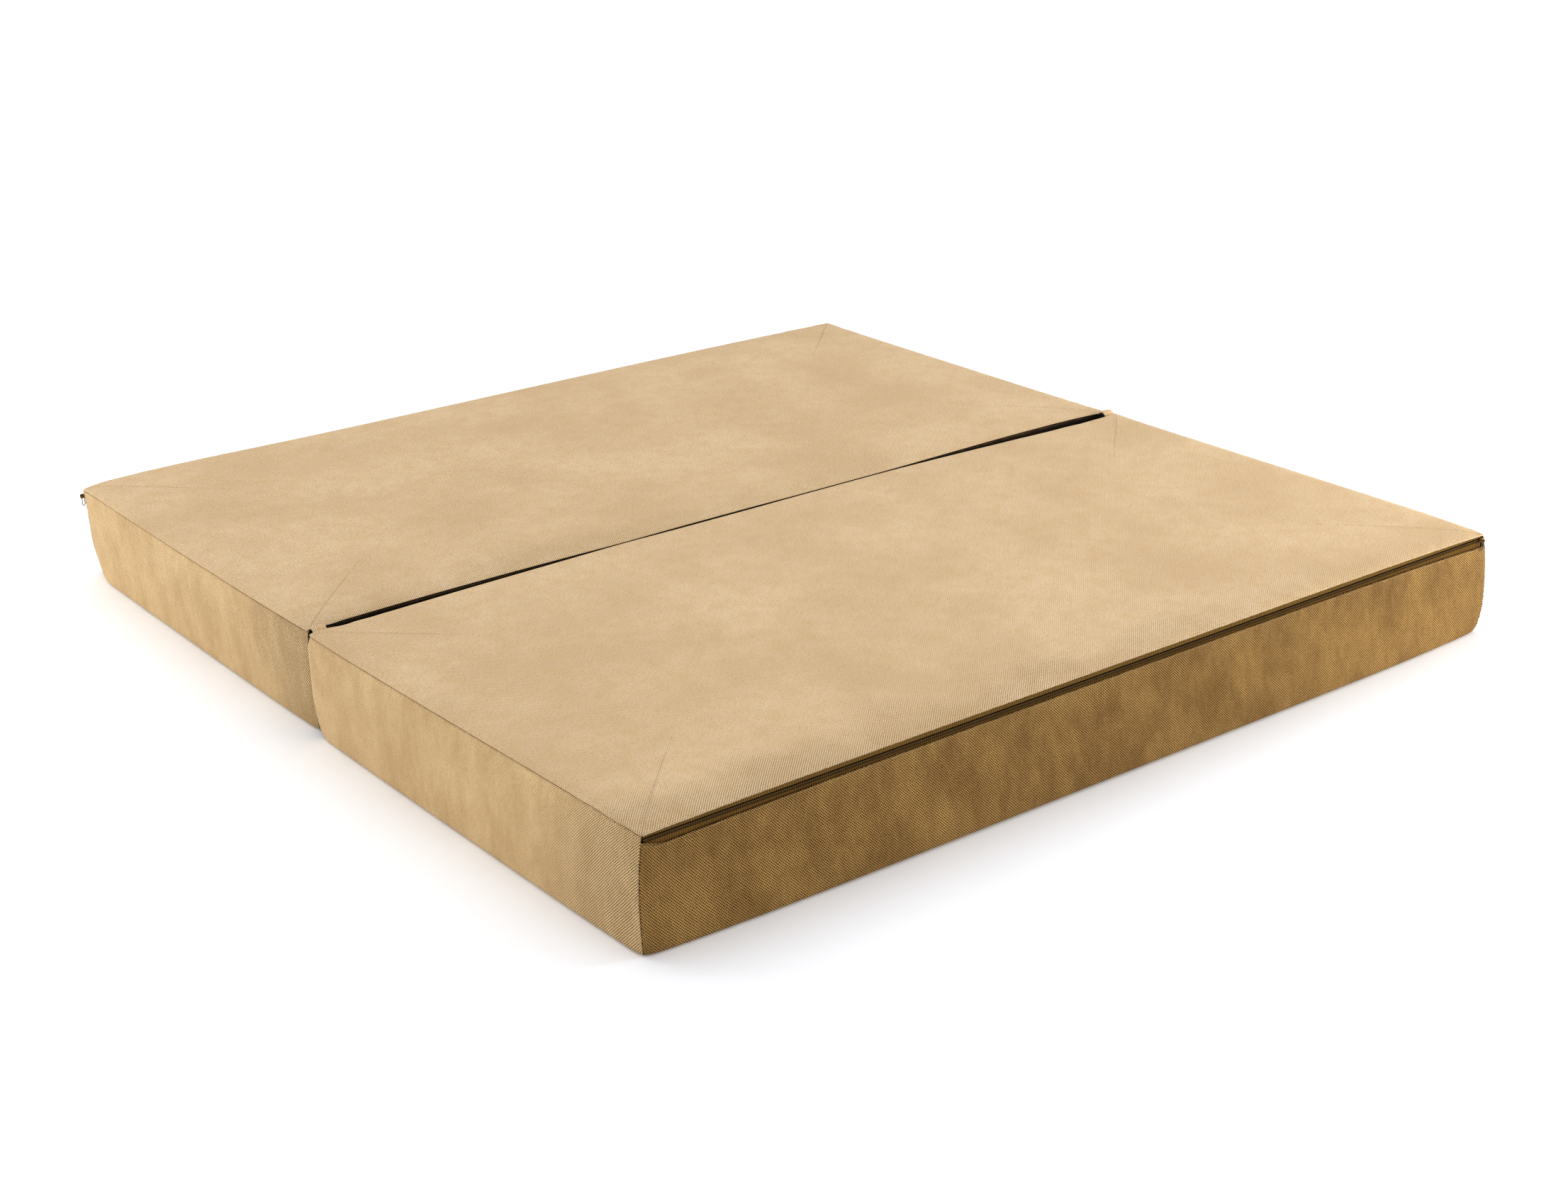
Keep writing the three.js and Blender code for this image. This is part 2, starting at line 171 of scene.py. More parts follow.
def hump(value, middle, reach):
    """A soft bell, one at the middle."""
    return np.exp(-(((value - middle) / reach) ** 2))


def top_height(cushion, x, y):
    """Height of the cloth's top at a place on the cushion."""
    across_x = np.minimum(np.abs(x) / HALF_LENGTH, 1)
    across_y = np.minimum(np.abs(y) / HALF_WIDTH, 1)
    to_hinge = np.clip((y / HALF_WIDTH + 1) / 2, 0, 1)
    crown = CROWN * (1 - across_x**CROWN_POWER) * (1 - across_y**CROWN_POWER)
    sides = INNER_RISE * to_hinge**2 + ZIP_RISE[cushion] * (1 - to_hinge) ** 2
    rise = (1 - across_x**RISE_POWER) * sides
    sag = END_SAG[cushion] * across_x**SAG_POWER * (1 - across_y**RISE_POWER)
    corner_fall = mix(ZIP_CORNER_FALL[cushion], HINGE_CORNER_FALL[cushion], to_hinge)
    fall = corner_fall * (across_x * across_y) ** CORNER_FALL_POWER
    plump = PLUMP_CORNER[cushion] * hump(x, PLUMP_PLACE, PLUMP_REACH) * (1 - to_hinge) ** 2
    tired = TIRED_CORNER_FALL[cushion] * across_x**TIRED_POWER_X * across_y**TIRED_POWER_Y
    tired = np.where((x > 0) & (y < 0), tired, 0.0)
    bunch = TAB_PLUMP[cushion] * hump(x, TAB_PLUMP_PLACE, TAB_PLUMP_REACH) * to_hinge**TAB_PLUMP_POWER
    bunch = bunch * (1 - across_x**TIRED_POWER_X)
    return EDGE_HEIGHT + crown + rise + plump + bunch - sag - fall - tired


for cushion in TURN:
    middle = float(top_height(cushion, np.array(0.0), np.array(0.0)))
    print(cushion, "cushion's middle in millimetres:", round(1000 * middle, 1))

# %% [markdown]
# The gap between two real cushions is never even. Here they nearly touch in two places, stand
# a finger apart near the tabs and furthest apart near the far end. The gap is described by a few
# widths along the bed, and each cushion gives way by half of what it is narrower or wider than
# at the corners.

# %% The gap between the cushions
CORNER_GAP = 0.022
GAP_PLACES = (-1.0, -0.93, -0.75, -0.58, -0.44, -0.33, -0.2, 0.0, 0.1, 0.35, 0.45,
              0.56, 0.72, 0.82, 0.92, 0.97, 1.0)
GAP_WIDTHS = (0.022, 0.028, 0.022, 0.016, 0.010, 0.003, 0.008, 0.008, 0.005, 0.005, 0.011,
              0.019, 0.031, 0.038, 0.042, 0.040, 0.022)
GAP_AVERAGE = (-0.04, -0.02, 0, 0.02, 0.04)  # the cloth smooths the widths over this reach
TAB_HOLD = 0.965  # beyond this place the tabs hold the edge straight


def inner_edge_bow(cushion, x):
    """How far the cushion's top edge leans into the gap."""
    along = TURN[cushion] * x
    widths = [np.interp(along + shift, GAP_PLACES, GAP_WIDTHS) for shift in GAP_AVERAGE]
    width = sum(widths) / len(widths)
    held = smooth_step(1.0, TAB_HOLD, np.abs(x))
    return (CORNER_GAP - width) / 2 * held


print("narrowest gap in millimetres:", round(1000 * min(GAP_WIDTHS), 1))

# %% [markdown]
# ## From sizes to a cage of cloth
# A cage is a mesh of a few thousand four-sided cells that a subdivision surface later rounds.
# Cells are small near the seams, where the cloth turns, and larger in the middle. The top and
# the base share the same lines, and the walls hang on the outline between them, so that every
# seam of the cover is an edge loop of the cage.

# %% Lines of the cage
CELL = 0.0165
EDGE_LINES = (0.0, 0.004, 0.010, 0.020)  # distance of the first lines from an edge


def cage_lines(half):
    inner = half - EDGE_LINES[-1]
    middle = np.linspace(-inner, inner, round(2 * inner / CELL) + 1)
    edge = half - np.array(EDGE_LINES[:-1])
    return np.concatenate([-edge, middle, edge[::-1]])


LINES_X = cage_lines(HALF_LENGTH)
LINES_Y = cage_lines(HALF_WIDTH)
COUNT_X, COUNT_Y = len(LINES_X), len(LINES_Y)


def cage_outline():
    """The outline's grid places, side by side and anticlockwise, with each one's way out."""
    zip_side = [(i, 0, "zip") for i in range(COUNT_X - 1)]
    far_end = [(COUNT_X - 1, j, "far") for j in range(COUNT_Y - 1)]
    hinge_side = [(i, COUNT_Y - 1, "hinge") for i in range(COUNT_X - 1, 0, -1)]
    near_end = [(0, j, "near") for j in range(COUNT_Y - 1, 0, -1)]
    return zip_side + far_end + hinge_side + near_end


OUTLINE = cage_outline()
OUTLINE_X = np.array([LINES_X[i] for i, _, _ in OUTLINE])
OUTLINE_Y = np.array([LINES_Y[j] for _, j, _ in OUTLINE])
OUT_X = np.where(np.abs(OUTLINE_X) == HALF_LENGTH, np.sign(OUTLINE_X), 0.0)
OUT_Y = np.where(np.abs(OUTLINE_Y) == HALF_WIDTH, np.sign(OUTLINE_Y), 0.0)
OUTLINE_SIDE = [side for _, _, side in OUTLINE]
print("cage lines:", COUNT_X, "by", COUNT_Y, "with", len(OUTLINE), "places round the outline")

# %% [markdown]
# The sides are drawn in at the upright corner seams and belly out between them. The long front
# also spreads a little where it meets the floor. One function says how far the cloth stands out
# from the straight box at each place and height.

# %% How the sides belly out
END_BOW, END_BELLY = 0.0025, 0.004
NEAR_OUT = {"front": (0.007, 0.007), "rear": (-0.014, -0.003)}  # near walls' foot, at zip and hinge
FAR_OUT = 0.004
NEAR_INSET = {"front": (0.011, -0.011), "rear": (0.002, 0.0)}  # top edge drawn in at zip and hinge
FAR_INSET = -0.002
ZIP_BOW = {"front": 0.0, "rear": 0.008}
ZIP_BELLY, ZIP_SPREAD = 0.004, 0.014
ZIP_OUT = {"front": 0.014, "rear": 0.006}  # the zip walls' foot stands out, corners and all
FAR_BELLY = {"front": 0.016, "rear": 0.0}
FOOT_HEIGHT = 0.16  # above this height nothing of a spread foot is left
BOW_POWER, HOLD_POWER = 3, 6  # bows end softly at the corners, and a side's move stays near it
LOW_BELLY, HIGH_BELLY = 0.75, 1.5  # powers that put a belly's fullest place under or over the middle
LEAN_POWER, CORNER_LEAN = 5, 3.5  # how late a wall leans from its foot to its top edge


def near_share(cushion, x):
    """One at the bed's near end and nought at its far end."""
    return (1 - TURN[cushion] * np.sign(x)) / 2


def bow(along, half):
    return 1 - np.abs(along / half) ** BOW_POWER


def hold(along, half):
    return np.abs(along / half) ** HOLD_POWER


def foot_share(height):
    return 1 - smooth_step(0.0, FOOT_HEIGHT, height)


def foot_out(cushion, x, y):
    return mix(FAR_OUT, mix(*NEAR_OUT[cushion], (y / HALF_WIDTH + 1) / 2), near_share(cushion, x))


def top_edge_out(cushion, x, y):
    """How far the top's edge stands out at the ends, at the zip and at the hinge."""
    near_inset = mix(*NEAR_INSET[cushion], (y / HALF_WIDTH + 1) / 2)
    inset = mix(FAR_INSET, near_inset, near_share(cushion, x))
    end = bow(y, HALF_WIDTH) * END_BOW - inset
    return end, bow(x, HALF_LENGTH) * ZIP_BOW[cushion], inner_edge_bow(cushion, x)


def end_out(cushion, x, y, lift):
    """How far an end wall stands out, from its foot at lift nought to its top edge at one."""
    top, _, _ = top_edge_out(cushion, x, y)
    full = 1 - lift ** (LEAN_POWER - CORNER_LEAN * hold(y, HALF_WIDTH))
    foot = bow(y, HALF_WIDTH) * END_BOW + foot_out(cushion, x, y)
    belly = bow(y, HALF_WIDTH) * END_BELLY * np.sin(np.pi * lift**LOW_BELLY)
    far_belly = (1 - near_share(cushion, x)) * FAR_BELLY[cushion] * np.sin(np.pi * lift**HIGH_BELLY)
    return mix(top, foot, full) + belly + far_belly


def zip_wall_out(cushion, x, y, height, lift):
    _, top, _ = top_edge_out(cushion, x, y)
    spread = foot_share(height) * (ZIP_OUT[cushion] + ZIP_SPREAD * (1 - hold(x, HALF_LENGTH)))
    belly = bow(x, HALF_LENGTH) * ZIP_BELLY * np.sin(np.pi * lift**LOW_BELLY)
    return top * lift + belly + spread


# %% [markdown]
# Three places don't follow the plain rule. The walls in the gap are hollow just under their
# seams and nearly meet at the ends of the gap, and the rear cushion's corner under its slider
# has sagged and swells out over the floor.

# %% The gap's walls and the corner under the slider
HINGE_HOLLOW = 0.006
HOLLOW_TOP, HOLLOW_FOOT, HOLLOW_ENDS = (0.004, 0.02), (0.05, 0.12), (1.0, 0.9)
LEAN_AT_FOOT = 0.45  # share of the top edge's lean that the foot of the wall takes
CORNER_BELLY = {"front": 0.015, "rear": -0.004}
BELLY_ALONG, BELLY_ACROSS = (0.8, 0.95), (0.4, 0.5)  # where the corners' bellies start and are full
BELLY_TOP, BELLY_FOOT, BELLY_EASE = (0.0, 0.03), (0.1, 0.2), 0.3
SLIDER_OUT = {"front": 0.0, "rear": 0.032}
SLIDER_BELLY, SLIDER_BELLY_TOP = {"front": 0.0, "rear": 0.032}, 0.176
SLIDER_REACH, SLIDER_POWER = (0.6, 1.0), 4


def hinge_wall_out(cushion, x, y, height, lift):
    """How far the wall in the gap leans out, with the belly at its ends apart."""
    _, _, top = top_edge_out(cushion, x, y)
    below = EDGE_HEIGHT - height
    hollow = smooth_step(*HOLLOW_TOP, below) * (1 - smooth_step(*HOLLOW_FOOT, below))
    hollow = hollow * smooth_step(*HOLLOW_ENDS, np.abs(x))
    lean = top * (LEAN_AT_FOOT + (1 - LEAN_AT_FOOT) * lift**2) - HINGE_HOLLOW * hollow
    belly = CORNER_BELLY[cushion] * smooth_step(*BELLY_ALONG, np.abs(x)) * smooth_step(*BELLY_ACROSS, y)
    belly = belly * smooth_step(*BELLY_TOP, below) * (1 - BELLY_EASE * smooth_step(*BELLY_FOOT, below))
    return lean, belly


def under_slider(cushion, x, y, height):
    """How far the corner under the slider swells out on the zip side."""
    belly = np.sin(np.pi * np.clip(height / SLIDER_BELLY_TOP, 0, 1) ** LOW_BELLY)
    share = smooth_step(*SLIDER_REACH, x) * np.clip(-y / HALF_WIDTH, 0, 1) ** SLIDER_POWER
    return share * (foot_share(height) * SLIDER_OUT[cushion] + belly * SLIDER_BELLY[cushion])


def stand_out(cushion, x, y, height):
    """Offsets in x and y of the outline, bellied out between the corners."""
    lift = np.clip(height / EDGE_HEIGHT, 0, 1)
    lean, belly = hinge_wall_out(cushion, x, y, height, lift)
    side = np.where(y < 0, -zip_wall_out(cushion, x, y, height, lift), lean)
    move_y = hold(y, HALF_WIDTH) * side + belly - under_slider(cushion, x, y, height)
    move_x = np.sign(x) * hold(x, HALF_LENGTH) * end_out(cushion, x, y, lift)
    return move_x, move_y


# %% Round corners
BASE_RADIUS = 0.009
ZIP_CORNER_RADIUS, HINGE_CORNER_RADIUS = 0.003, {"front": 0.008, "rear": 0.006}
BASE_CORNER_RADIUS = {"front": 0.03, "rear": 0.074}
CORNER_EASE = {"front": 0.06, "rear": 0.18}  # height at which a corner starts to round
CORNER_POWER = {"front": 2, "rear": 1}
TINY = 1e-9  # keeps a division away from nought


def round_corners(cushion, x, y, height):
    """Moves points near a corner onto arcs, which are wide near the floor, most so at the rear zip."""
    wide = (y <= 0) & (cushion == "rear")
    low = 1 - np.clip(height / np.where(wide, CORNER_EASE["rear"], CORNER_EASE["front"]), 0, 1)
    low = np.where(wide, low ** CORNER_POWER["rear"], low ** CORNER_POWER["front"])
    base = np.where(wide, BASE_CORNER_RADIUS["rear"], BASE_CORNER_RADIUS["front"])
    top = np.where(y > 0, HINGE_CORNER_RADIUS[cushion], ZIP_CORNER_RADIUS)
    radius = mix(top, base, low)
    in_x = radius - (HALF_LENGTH - np.abs(x))
    in_y = radius - (HALF_WIDTH - np.abs(y))
    share = np.maximum(in_x, in_y) / np.maximum(np.hypot(in_x, in_y), TINY)
    pull = np.where((in_x > 0) & (in_y > 0), share, 1.0)
    return x - np.sign(x) * in_x * (1 - pull), y - np.sign(y) * in_y * (1 - pull)


def ring(cushion, height, inset=0.0):
    """One closed ring of points round the cushion."""
    height = np.broadcast_to(height, OUTLINE_X.shape)
    inset = np.broadcast_to(inset, OUTLINE_X.shape)
    move_x, move_y = stand_out(cushion, OUTLINE_X, OUTLINE_Y, height)
    x, y = round_corners(cushion, OUTLINE_X, OUTLINE_Y, height)
    return np.stack([x + move_x - OUT_X * inset, y + move_y - OUT_Y * inset, height], 1)


CREST = {cushion: top_height(cushion, OUTLINE_X, OUTLINE_Y) for cushion in TURN}
for cushion, crest in CREST.items():
    low, high = round(crest.min() * 1000, 1), round(crest.max() * 1000, 1)
    print(cushion, "crest in millimetres:", low, "to", high)

# %% [markdown]
# Cloth on a cushion is cut flat, so its weave is drawn on the flat cutting pattern. The top keeps
# its own plan. The base and the four sides are one cloth: the sides fold up from the base like
# the flaps of a box. The UV map holds that flat pattern in metres, one unit to a metre, and the
# weave later reads it, so its threads have the same pitch everywhere.

# %% A mesh with its cutting pattern
def new_mesh_object(name, points, faces, pattern=None):
    """Makes a smooth mesh object. The pattern holds u and v for every corner of every face."""
    mesh = bpy.data.meshes.new(name)
    mesh.from_pydata(np.asarray(points).tolist(), [], faces)
    mesh.polygons.foreach_set("use_smooth", [True] * len(mesh.polygons))
    if pattern is not None:
        layer = mesh.uv_layers.new(name="cloth")
        layer.data.foreach_set("uv", np.asarray(pattern, np.float32).ravel())
    mesh.update()
    made = bpy.data.objects.new(name, mesh)
    bpy.context.scene.collection.objects.link(made)
    return made


def coordinates(mesh):
    flat = np.empty(len(mesh.vertices) * 3, np.float32)
    mesh.vertices.foreach_get("co", flat)
    return flat.reshape(-1, 3).astype(float)


def set_coordinates(mesh, points):
    mesh.vertices.foreach_set("co", np.asarray(points, np.float32).ravel())
    mesh.update()


def bake_modifiers(made):
    """Replaces the object's mesh with what its modifiers make of it."""
    graph = bpy.context.evaluated_depsgraph_get()
    mesh = bpy.data.meshes.new_from_object(made.evaluated_get(graph))
    old = made.data
    made.modifiers.clear()
    made.data = mesh
    bpy.data.meshes.remove(old)
    return made


# %% Cells of a cage
UPWARDS = ((0, 0), (1, 0), (1, 1), (0, 1))  # order of a cell's corners, seen from outside
DOWNWARDS = ((0, 0), (0, 1), (1, 1), (1, 0))


def flat_cells(order):
    """Faces and pattern of the grid between the cage's lines."""
    faces, pattern = [], []
    for i in range(COUNT_X - 1):
        for j in range(COUNT_Y - 1):
            places = [(i + step_x, j + step_y) for step_x, step_y in order]
            faces.append(tuple(p * COUNT_Y + q for p, q in places))
            pattern += [(LINES_X[p], LINES_Y[q]) for p, q in places]
    return faces, pattern


def flap(place, side, fall):
    """Where a point below the outline lies on the pattern, with its side folded out flat."""
    out = {"zip": (0, -fall), "far": (fall, 0), "hinge": (0, fall), "near": (-fall, 0)}[side]
    return OUTLINE_X[place] + out[0], OUTLINE_Y[place] + out[1]


# %% The cage of the top panel
SEAM_DEPTH = 0.004  # seam below the crest
SEAM_PULL = 0.0006  # the seam thread draws the cloth in
TURN_SHARE, TURN_ROLL = 0.45, 0.0004  # the turned edge rolls out between crest and seam
TURN_DROPS, TURN_HEIGHT = (0.0, 0.0018), 0.002  # the same on the flat pattern


def top_cage(cushion):
    """Points, faces and pattern of the top panel, and which points are on its turned edge."""
    grid_x, grid_y = np.meshgrid(LINES_X, LINES_Y, indexing="ij")
    share_x, share_y = grid_x / HALF_LENGTH, grid_y / HALF_WIDTH
    end, zip_out, hinge_out = top_edge_out(cushion, grid_x, grid_y)
    bow_x = np.sign(share_x) * np.abs(share_x) ** HOLD_POWER * end
    bow_y = np.where(share_y > 0, hinge_out, -zip_out) * np.abs(share_y) ** HOLD_POWER
    height, crest = top_height(cushion, grid_x, grid_y), CREST[cushion]
    plan_x, plan_y = round_corners(cushion, grid_x, grid_y, height)
    points = [np.stack([plan_x + bow_x, plan_y + bow_y, height], -1).reshape(-1, 3)]
    points.append(ring(cushion, crest - TURN_SHARE * SEAM_DEPTH, -TURN_ROLL))
    points.append(ring(cushion, crest - SEAM_DEPTH, np.where(OUT_Y < 0, 0.0, SEAM_PULL)))
    faces, pattern = flat_cells(UPWARDS)
    count = len(OUTLINE)
    rim = [i * COUNT_Y + j for i, j, _ in OUTLINE]
    first = COUNT_X * COUNT_Y
    rows = [rim, list(range(first, first + count)), list(range(first + count, first + 2 * count))]
    for upper, lower, drop in zip(rows, rows[1:], TURN_DROPS):
        for k in range(count):
            n = (k + 1) % count
            faces.append((upper[k], lower[k], lower[n], upper[n]))
            low = drop + TURN_HEIGHT
            for place, fall in ((k, drop), (k, low), (n, low), (n, drop)):
                pattern.append(flap(place, OUTLINE_SIDE[k], fall))
    return np.concatenate(points), faces, pattern, set(rows[1] + rows[2])


# %% The cage of the side and base panel
BAND_MIDDLE, BAND_ENDS, BAND_START = 0.023, 0.0265, 0.0145  # crest to the hem under the zip
BAND_POWER = 4
CLOSING_LENGTH = 0.045
WALL_STEPS = 5
BASE_RISES = (0.52, 0.14)  # heights of two lines in the turn, in base radii
HEM_LINE, SEAM_LINE = 0.006, 0.003  # lines this far under the hem and the seam keep them sharp


def hem_height(cushion, x):
    """Height of the lower hem. The band closes where the zip starts."""
    band = mix(BAND_MIDDLE, BAND_ENDS, np.abs(x / HALF_LENGTH) ** BAND_POWER)
    closing = smooth_step(CLOSING_LENGTH - HALF_LENGTH, -HALF_LENGTH, x)
    crest = top_height(cushion, x, np.full_like(x, -HALF_WIDTH))
    return crest - mix(band, BAND_START, closing)


def base_inset(height):
    rise = np.clip(BASE_RADIUS - height, 0, BASE_RADIUS)
    return BASE_RADIUS - np.sqrt(BASE_RADIUS**2 - rise**2)


def wall_rings(cushion):
    """Rings of the wall from the floor to the seam. Also returns the row of the lower hem."""
    crest = CREST[cushion]
    hem = np.where(OUT_Y < 0, hem_height(cushion, OUTLINE_X), crest - BAND_ENDS)
    shares = [step / WALL_STEPS for step in range(WALL_STEPS + 1)]
    heights = [np.zeros_like(crest)]
    heights += [np.full_like(crest, BASE_RADIUS * share) for share in reversed(BASE_RISES)]
    heights += [mix(BASE_RADIUS, hem - HEM_LINE, share) for share in shares]
    hem_row = len(heights)
    heights += [hem, mix(hem, crest - SEAM_DEPTH, 0.5), crest - SEAM_DEPTH - SEAM_LINE]
    rings = [ring(cushion, height, base_inset(height)) for height in heights]
    rings.append(ring(cushion, crest - SEAM_DEPTH, SEAM_PULL))
    return rings, hem_row


def base_points(cushion):
    """The flat base, spread like the walls' feet."""
    grid_x, grid_y = np.meshgrid(LINES_X, LINES_Y, indexing="ij")
    share_x, share_y = grid_x / HALF_LENGTH, grid_y / HALF_WIDTH
    plan_x, plan_y = round_corners(cushion, grid_x, grid_y, 0.0)
    floor_x = plan_x * (HALF_LENGTH - BASE_RADIUS) / HALF_LENGTH
    floor_y = plan_y * (HALF_WIDTH - BASE_RADIUS) / HALF_WIDTH
    spread = ZIP_OUT[cushion] + ZIP_SPREAD * (1 - share_x**HOLD_POWER)
    floor_x = floor_x + np.sign(share_x) * share_x**HOLD_POWER * foot_out(cushion, grid_x, grid_y)
    floor_y = floor_y - np.maximum(-share_y, 0) ** HOLD_POWER * spread
    floor_y = floor_y - under_slider(cushion, grid_x, grid_y, 0.0)
    return np.stack([floor_x, floor_y, np.zeros_like(floor_x)], -1).reshape(-1, 3)


def side_and_base_cage(cushion):
    """Points, faces and pattern of the side and base, and which points are seams or hems."""
    rings, hem_row = wall_rings(cushion)
    base = base_points(cushion)
    rim = np.array([i * COUNT_Y + j for i, j, _ in OUTLINE])
    base[rim] = rings[0]
    count, first = len(OUTLINE), COUNT_X * COUNT_Y
    rows = [rim] + [np.arange(count) + first + r * count for r in range(len(rings) - 1)]
    faces, pattern = flat_cells(DOWNWARDS)
    for r in range(len(rings) - 1):
        low, high = rings[r][:, 2], rings[r + 1][:, 2]
        for k in range(count):
            side, n = OUTLINE_SIDE[k], (k + 1) % count
            if side == "zip" and r >= hem_row:
                continue
            corners = (rows[r + 1][k], rows[r][k], rows[r][n], rows[r + 1][n])
            faces.append(tuple(int(v) for v in corners))
            for place, rise in ((k, high[k]), (k, low[k]), (n, low[n]), (n, high[n])):
                pattern.append(flap(place, side, rise))
    zip_places = [k for k in range(count) if OUTLINE_SIDE[k] == "zip"] + [COUNT_X - 1]
    corner_places = [k for k in range(count) if OUT_X[k] and OUT_Y[k]]
    seams = {int(v) for v in rows[hem_row][zip_places]} | {int(v) for v in rows[-1]}
    seams |= {int(row[k]) for row in rows for k in corner_places}
    return np.concatenate([base] + rings[1:]), faces, pattern, seams


def without_loose_points(points, faces, marked):
    """Drops the points that no face uses, and numbers the rest anew."""
    used = np.zeros(len(points), bool)
    used[np.unique([v for face in faces for v in face])] = True
    renumber = np.cumsum(used) - 1
    kept = {int(renumber[v]) for v in marked if used[v]}
    return points[used], [tuple(int(renumber[v]) for v in face) for face in faces], kept


print("walls have", len(wall_rings("front")[0]), "rings")

# %% [markdown]
# ## Cloth that settles over foam
# A cover is sewn slightly smaller than its foam, so the cloth is pushed out between the seams and
# its threads pull it into soft, uneven swells. Blender's Cloth does that: the seams are pinned, a
# gentle pressure pushes the cloth out, and the cloth is a trace larger than its seams allow. The
# foam stops it, which the cap on each point's travel stands for.

# %% Let a panel settle
SETTLE_FRAMES = 20
TRAVEL_CAP = 0.003
SLACK = 0.004  # how much larger than its seams allow, as a share
CLOTH_SETTINGS = {
    "quality": 4, "mass": 0.35, "tension_stiffness": 12, "compression_stiffness": 12,
    "shear_stiffness": 4, "bending_stiffness": 0.3, "use_pressure": True,
    "uniform_pressure_force": 4.0, "shrink_min": -SLACK,
}


def settle(panel, seams):
    """Runs Cloth on the panel with its seams pinned, and keeps every point within the cap."""
    rest = coordinates(panel.data)
    group = panel.vertex_groups.new(name="seams")
    group.add(sorted(seams), 1.0, "REPLACE")
    cloth = panel.modifiers.new("cloth", "CLOTH")
    for key, value in CLOTH_SETTINGS.items():
        setattr(cloth.settings, key, value)
    cloth.settings.vertex_group_mass = "seams"
    cloth.settings.effector_weights.gravity = 0
    cloth.point_cache.frame_start = 1
    cloth.point_cache.frame_end = SETTLE_FRAMES
    for number in range(1, SETTLE_FRAMES + 1):
        bpy.context.scene.frame_set(number)
    graph = bpy.context.evaluated_depsgraph_get()
    moved = coordinates(panel.evaluated_get(graph).data) - rest
    panel.modifiers.clear()
    bpy.context.scene.frame_set(1)
    travel = np.linalg.norm(moved, axis=1, keepdims=True) + TINY
    moved *= TRAVEL_CAP * np.tanh(travel / TRAVEL_CAP) / travel
    set_coordinates(panel.data, rest + moved)
    furthest = float(np.linalg.norm(moved, axis=1).max())
    print(panel.name, "moved up to", round(1000 * furthest, 2), "mm")


# %% [markdown]
# The seams also gather the cloth. Every few centimetres a stitch holds a little more cloth than
# the next one, which leaves small puckers that run away from the seam and die out within a
# hand's width. They are waves whose height falls with the distance from the outline.

# %% Puckers along the seams
PUCKER_HEIGHT, PUCKER_REACH = 0.0018, 0.035
PUCKER_PITCH = 0.045  # from one pucker to the next along the seam
PUCKER_DRIFT = 6  # how fast a pucker changes on its way from the seam
SWELL_HEIGHT, SWELL_SCALE = 0.0012, 5.0
SEAM_HOLD, FLOOR_HOLD = 0.008, 0.02  # nothing moves at the seams and at the floor
WALL_TOP = EDGE_HEIGHT - 0.03  # below this a point belongs to a wall
SEED_STEP = (7.3, 3.1, 5.7)  # each seed reads the noise at another place
PUCKER_SEED_STEP = 4.7


def noise_at(points, scale, seed):
    shift = Vector([seed * step for step in SEED_STEP])
    return np.array([noise.noise(Vector(p) * scale + shift) for p in points])


def pucker(panel, seed):
    """Adds puckers near the outline and long soft swells everywhere."""
    points = coordinates(panel.data)
    normals = np.empty(len(points) * 3, np.float32)
    panel.data.vertices.foreach_get("normal", normals)
    normals = normals.reshape(-1, 3)
    x, y, z = points.T
    from_end = HALF_LENGTH - np.abs(x)
    from_side = HALF_WIDTH - np.abs(y)
    plan = np.minimum(from_end, from_side)
    from_seam = np.where(z < WALL_TOP, EDGE_HEIGHT - z, np.maximum(plan, 0))
    along = np.where(from_end < from_side, y, x)
    waves = np.array([
        noise.noise(Vector((a / PUCKER_PITCH, seed * PUCKER_SEED_STEP, b * PUCKER_DRIFT)))
        for a, b in zip(along, from_seam)
    ])
    near = np.exp(-np.abs(from_seam) / PUCKER_REACH)
    held = smooth_step(0.0, SEAM_HOLD, from_seam) * smooth_step(0.0, FLOOR_HOLD, z)
    height = PUCKER_HEIGHT * near * waves + SWELL_HEIGHT * noise_at(points, SWELL_SCALE, seed)
    set_coordinates(panel.data, points + normals * (height * held)[:, None])


# %% [markdown]
# ## The cover panels
# Each panel goes through the same steps: cage, settling, puckers, a wall thickness and one level
# of subdivision, which also rounds the folded edge of the hems. The finished mesh is then put in
# its place on the bed.

# %% Make the cover panels
CLOTH_THICKNESS = 0.002
TOP_LIMIT, TOP_EASE = 0.2152, 0.004  # the folded cushions' tops must not meet
TOP_SEED, SIDE_SEED = 1.3, 4.1


def thicken(made, thickness, offset):
    """Gives a sheet its thickness and one level of subdivision."""
    wall = made.modifiers.new("thickness", "SOLIDIFY")
    wall.thickness = thickness
    wall.offset = offset
    rounding = made.modifiers.new("rounding", "SUBSURF")
    rounding.levels = rounding.render_levels = 1
    return bake_modifiers(made)


def cover_panel(name, cushion, points, faces, pattern, seams, seed):
    panel = new_mesh_object(name, points, faces, pattern)
    settle(panel, seams)
    pucker(panel, seed)
    points = coordinates(panel.data)
    points[:, 2] = np.maximum(points[:, 2], 0)  # the floor holds the base flat
    set_coordinates(panel.data, points)
    thicken(panel, CLOTH_THICKNESS, -1)
    points = coordinates(panel.data)
    start = TOP_LIMIT - TOP_EASE
    over = np.maximum(points[:, 2] - start, 0)
    points[:, 2] = np.clip(points[:, 2], 0, start) + TOP_EASE * np.tanh(over / TOP_EASE)
    set_coordinates(panel.data, to_bed(cushion, points))
    panel.vertex_groups.clear()
    print(name, "has", len(panel.data.polygons), "faces")
    return panel


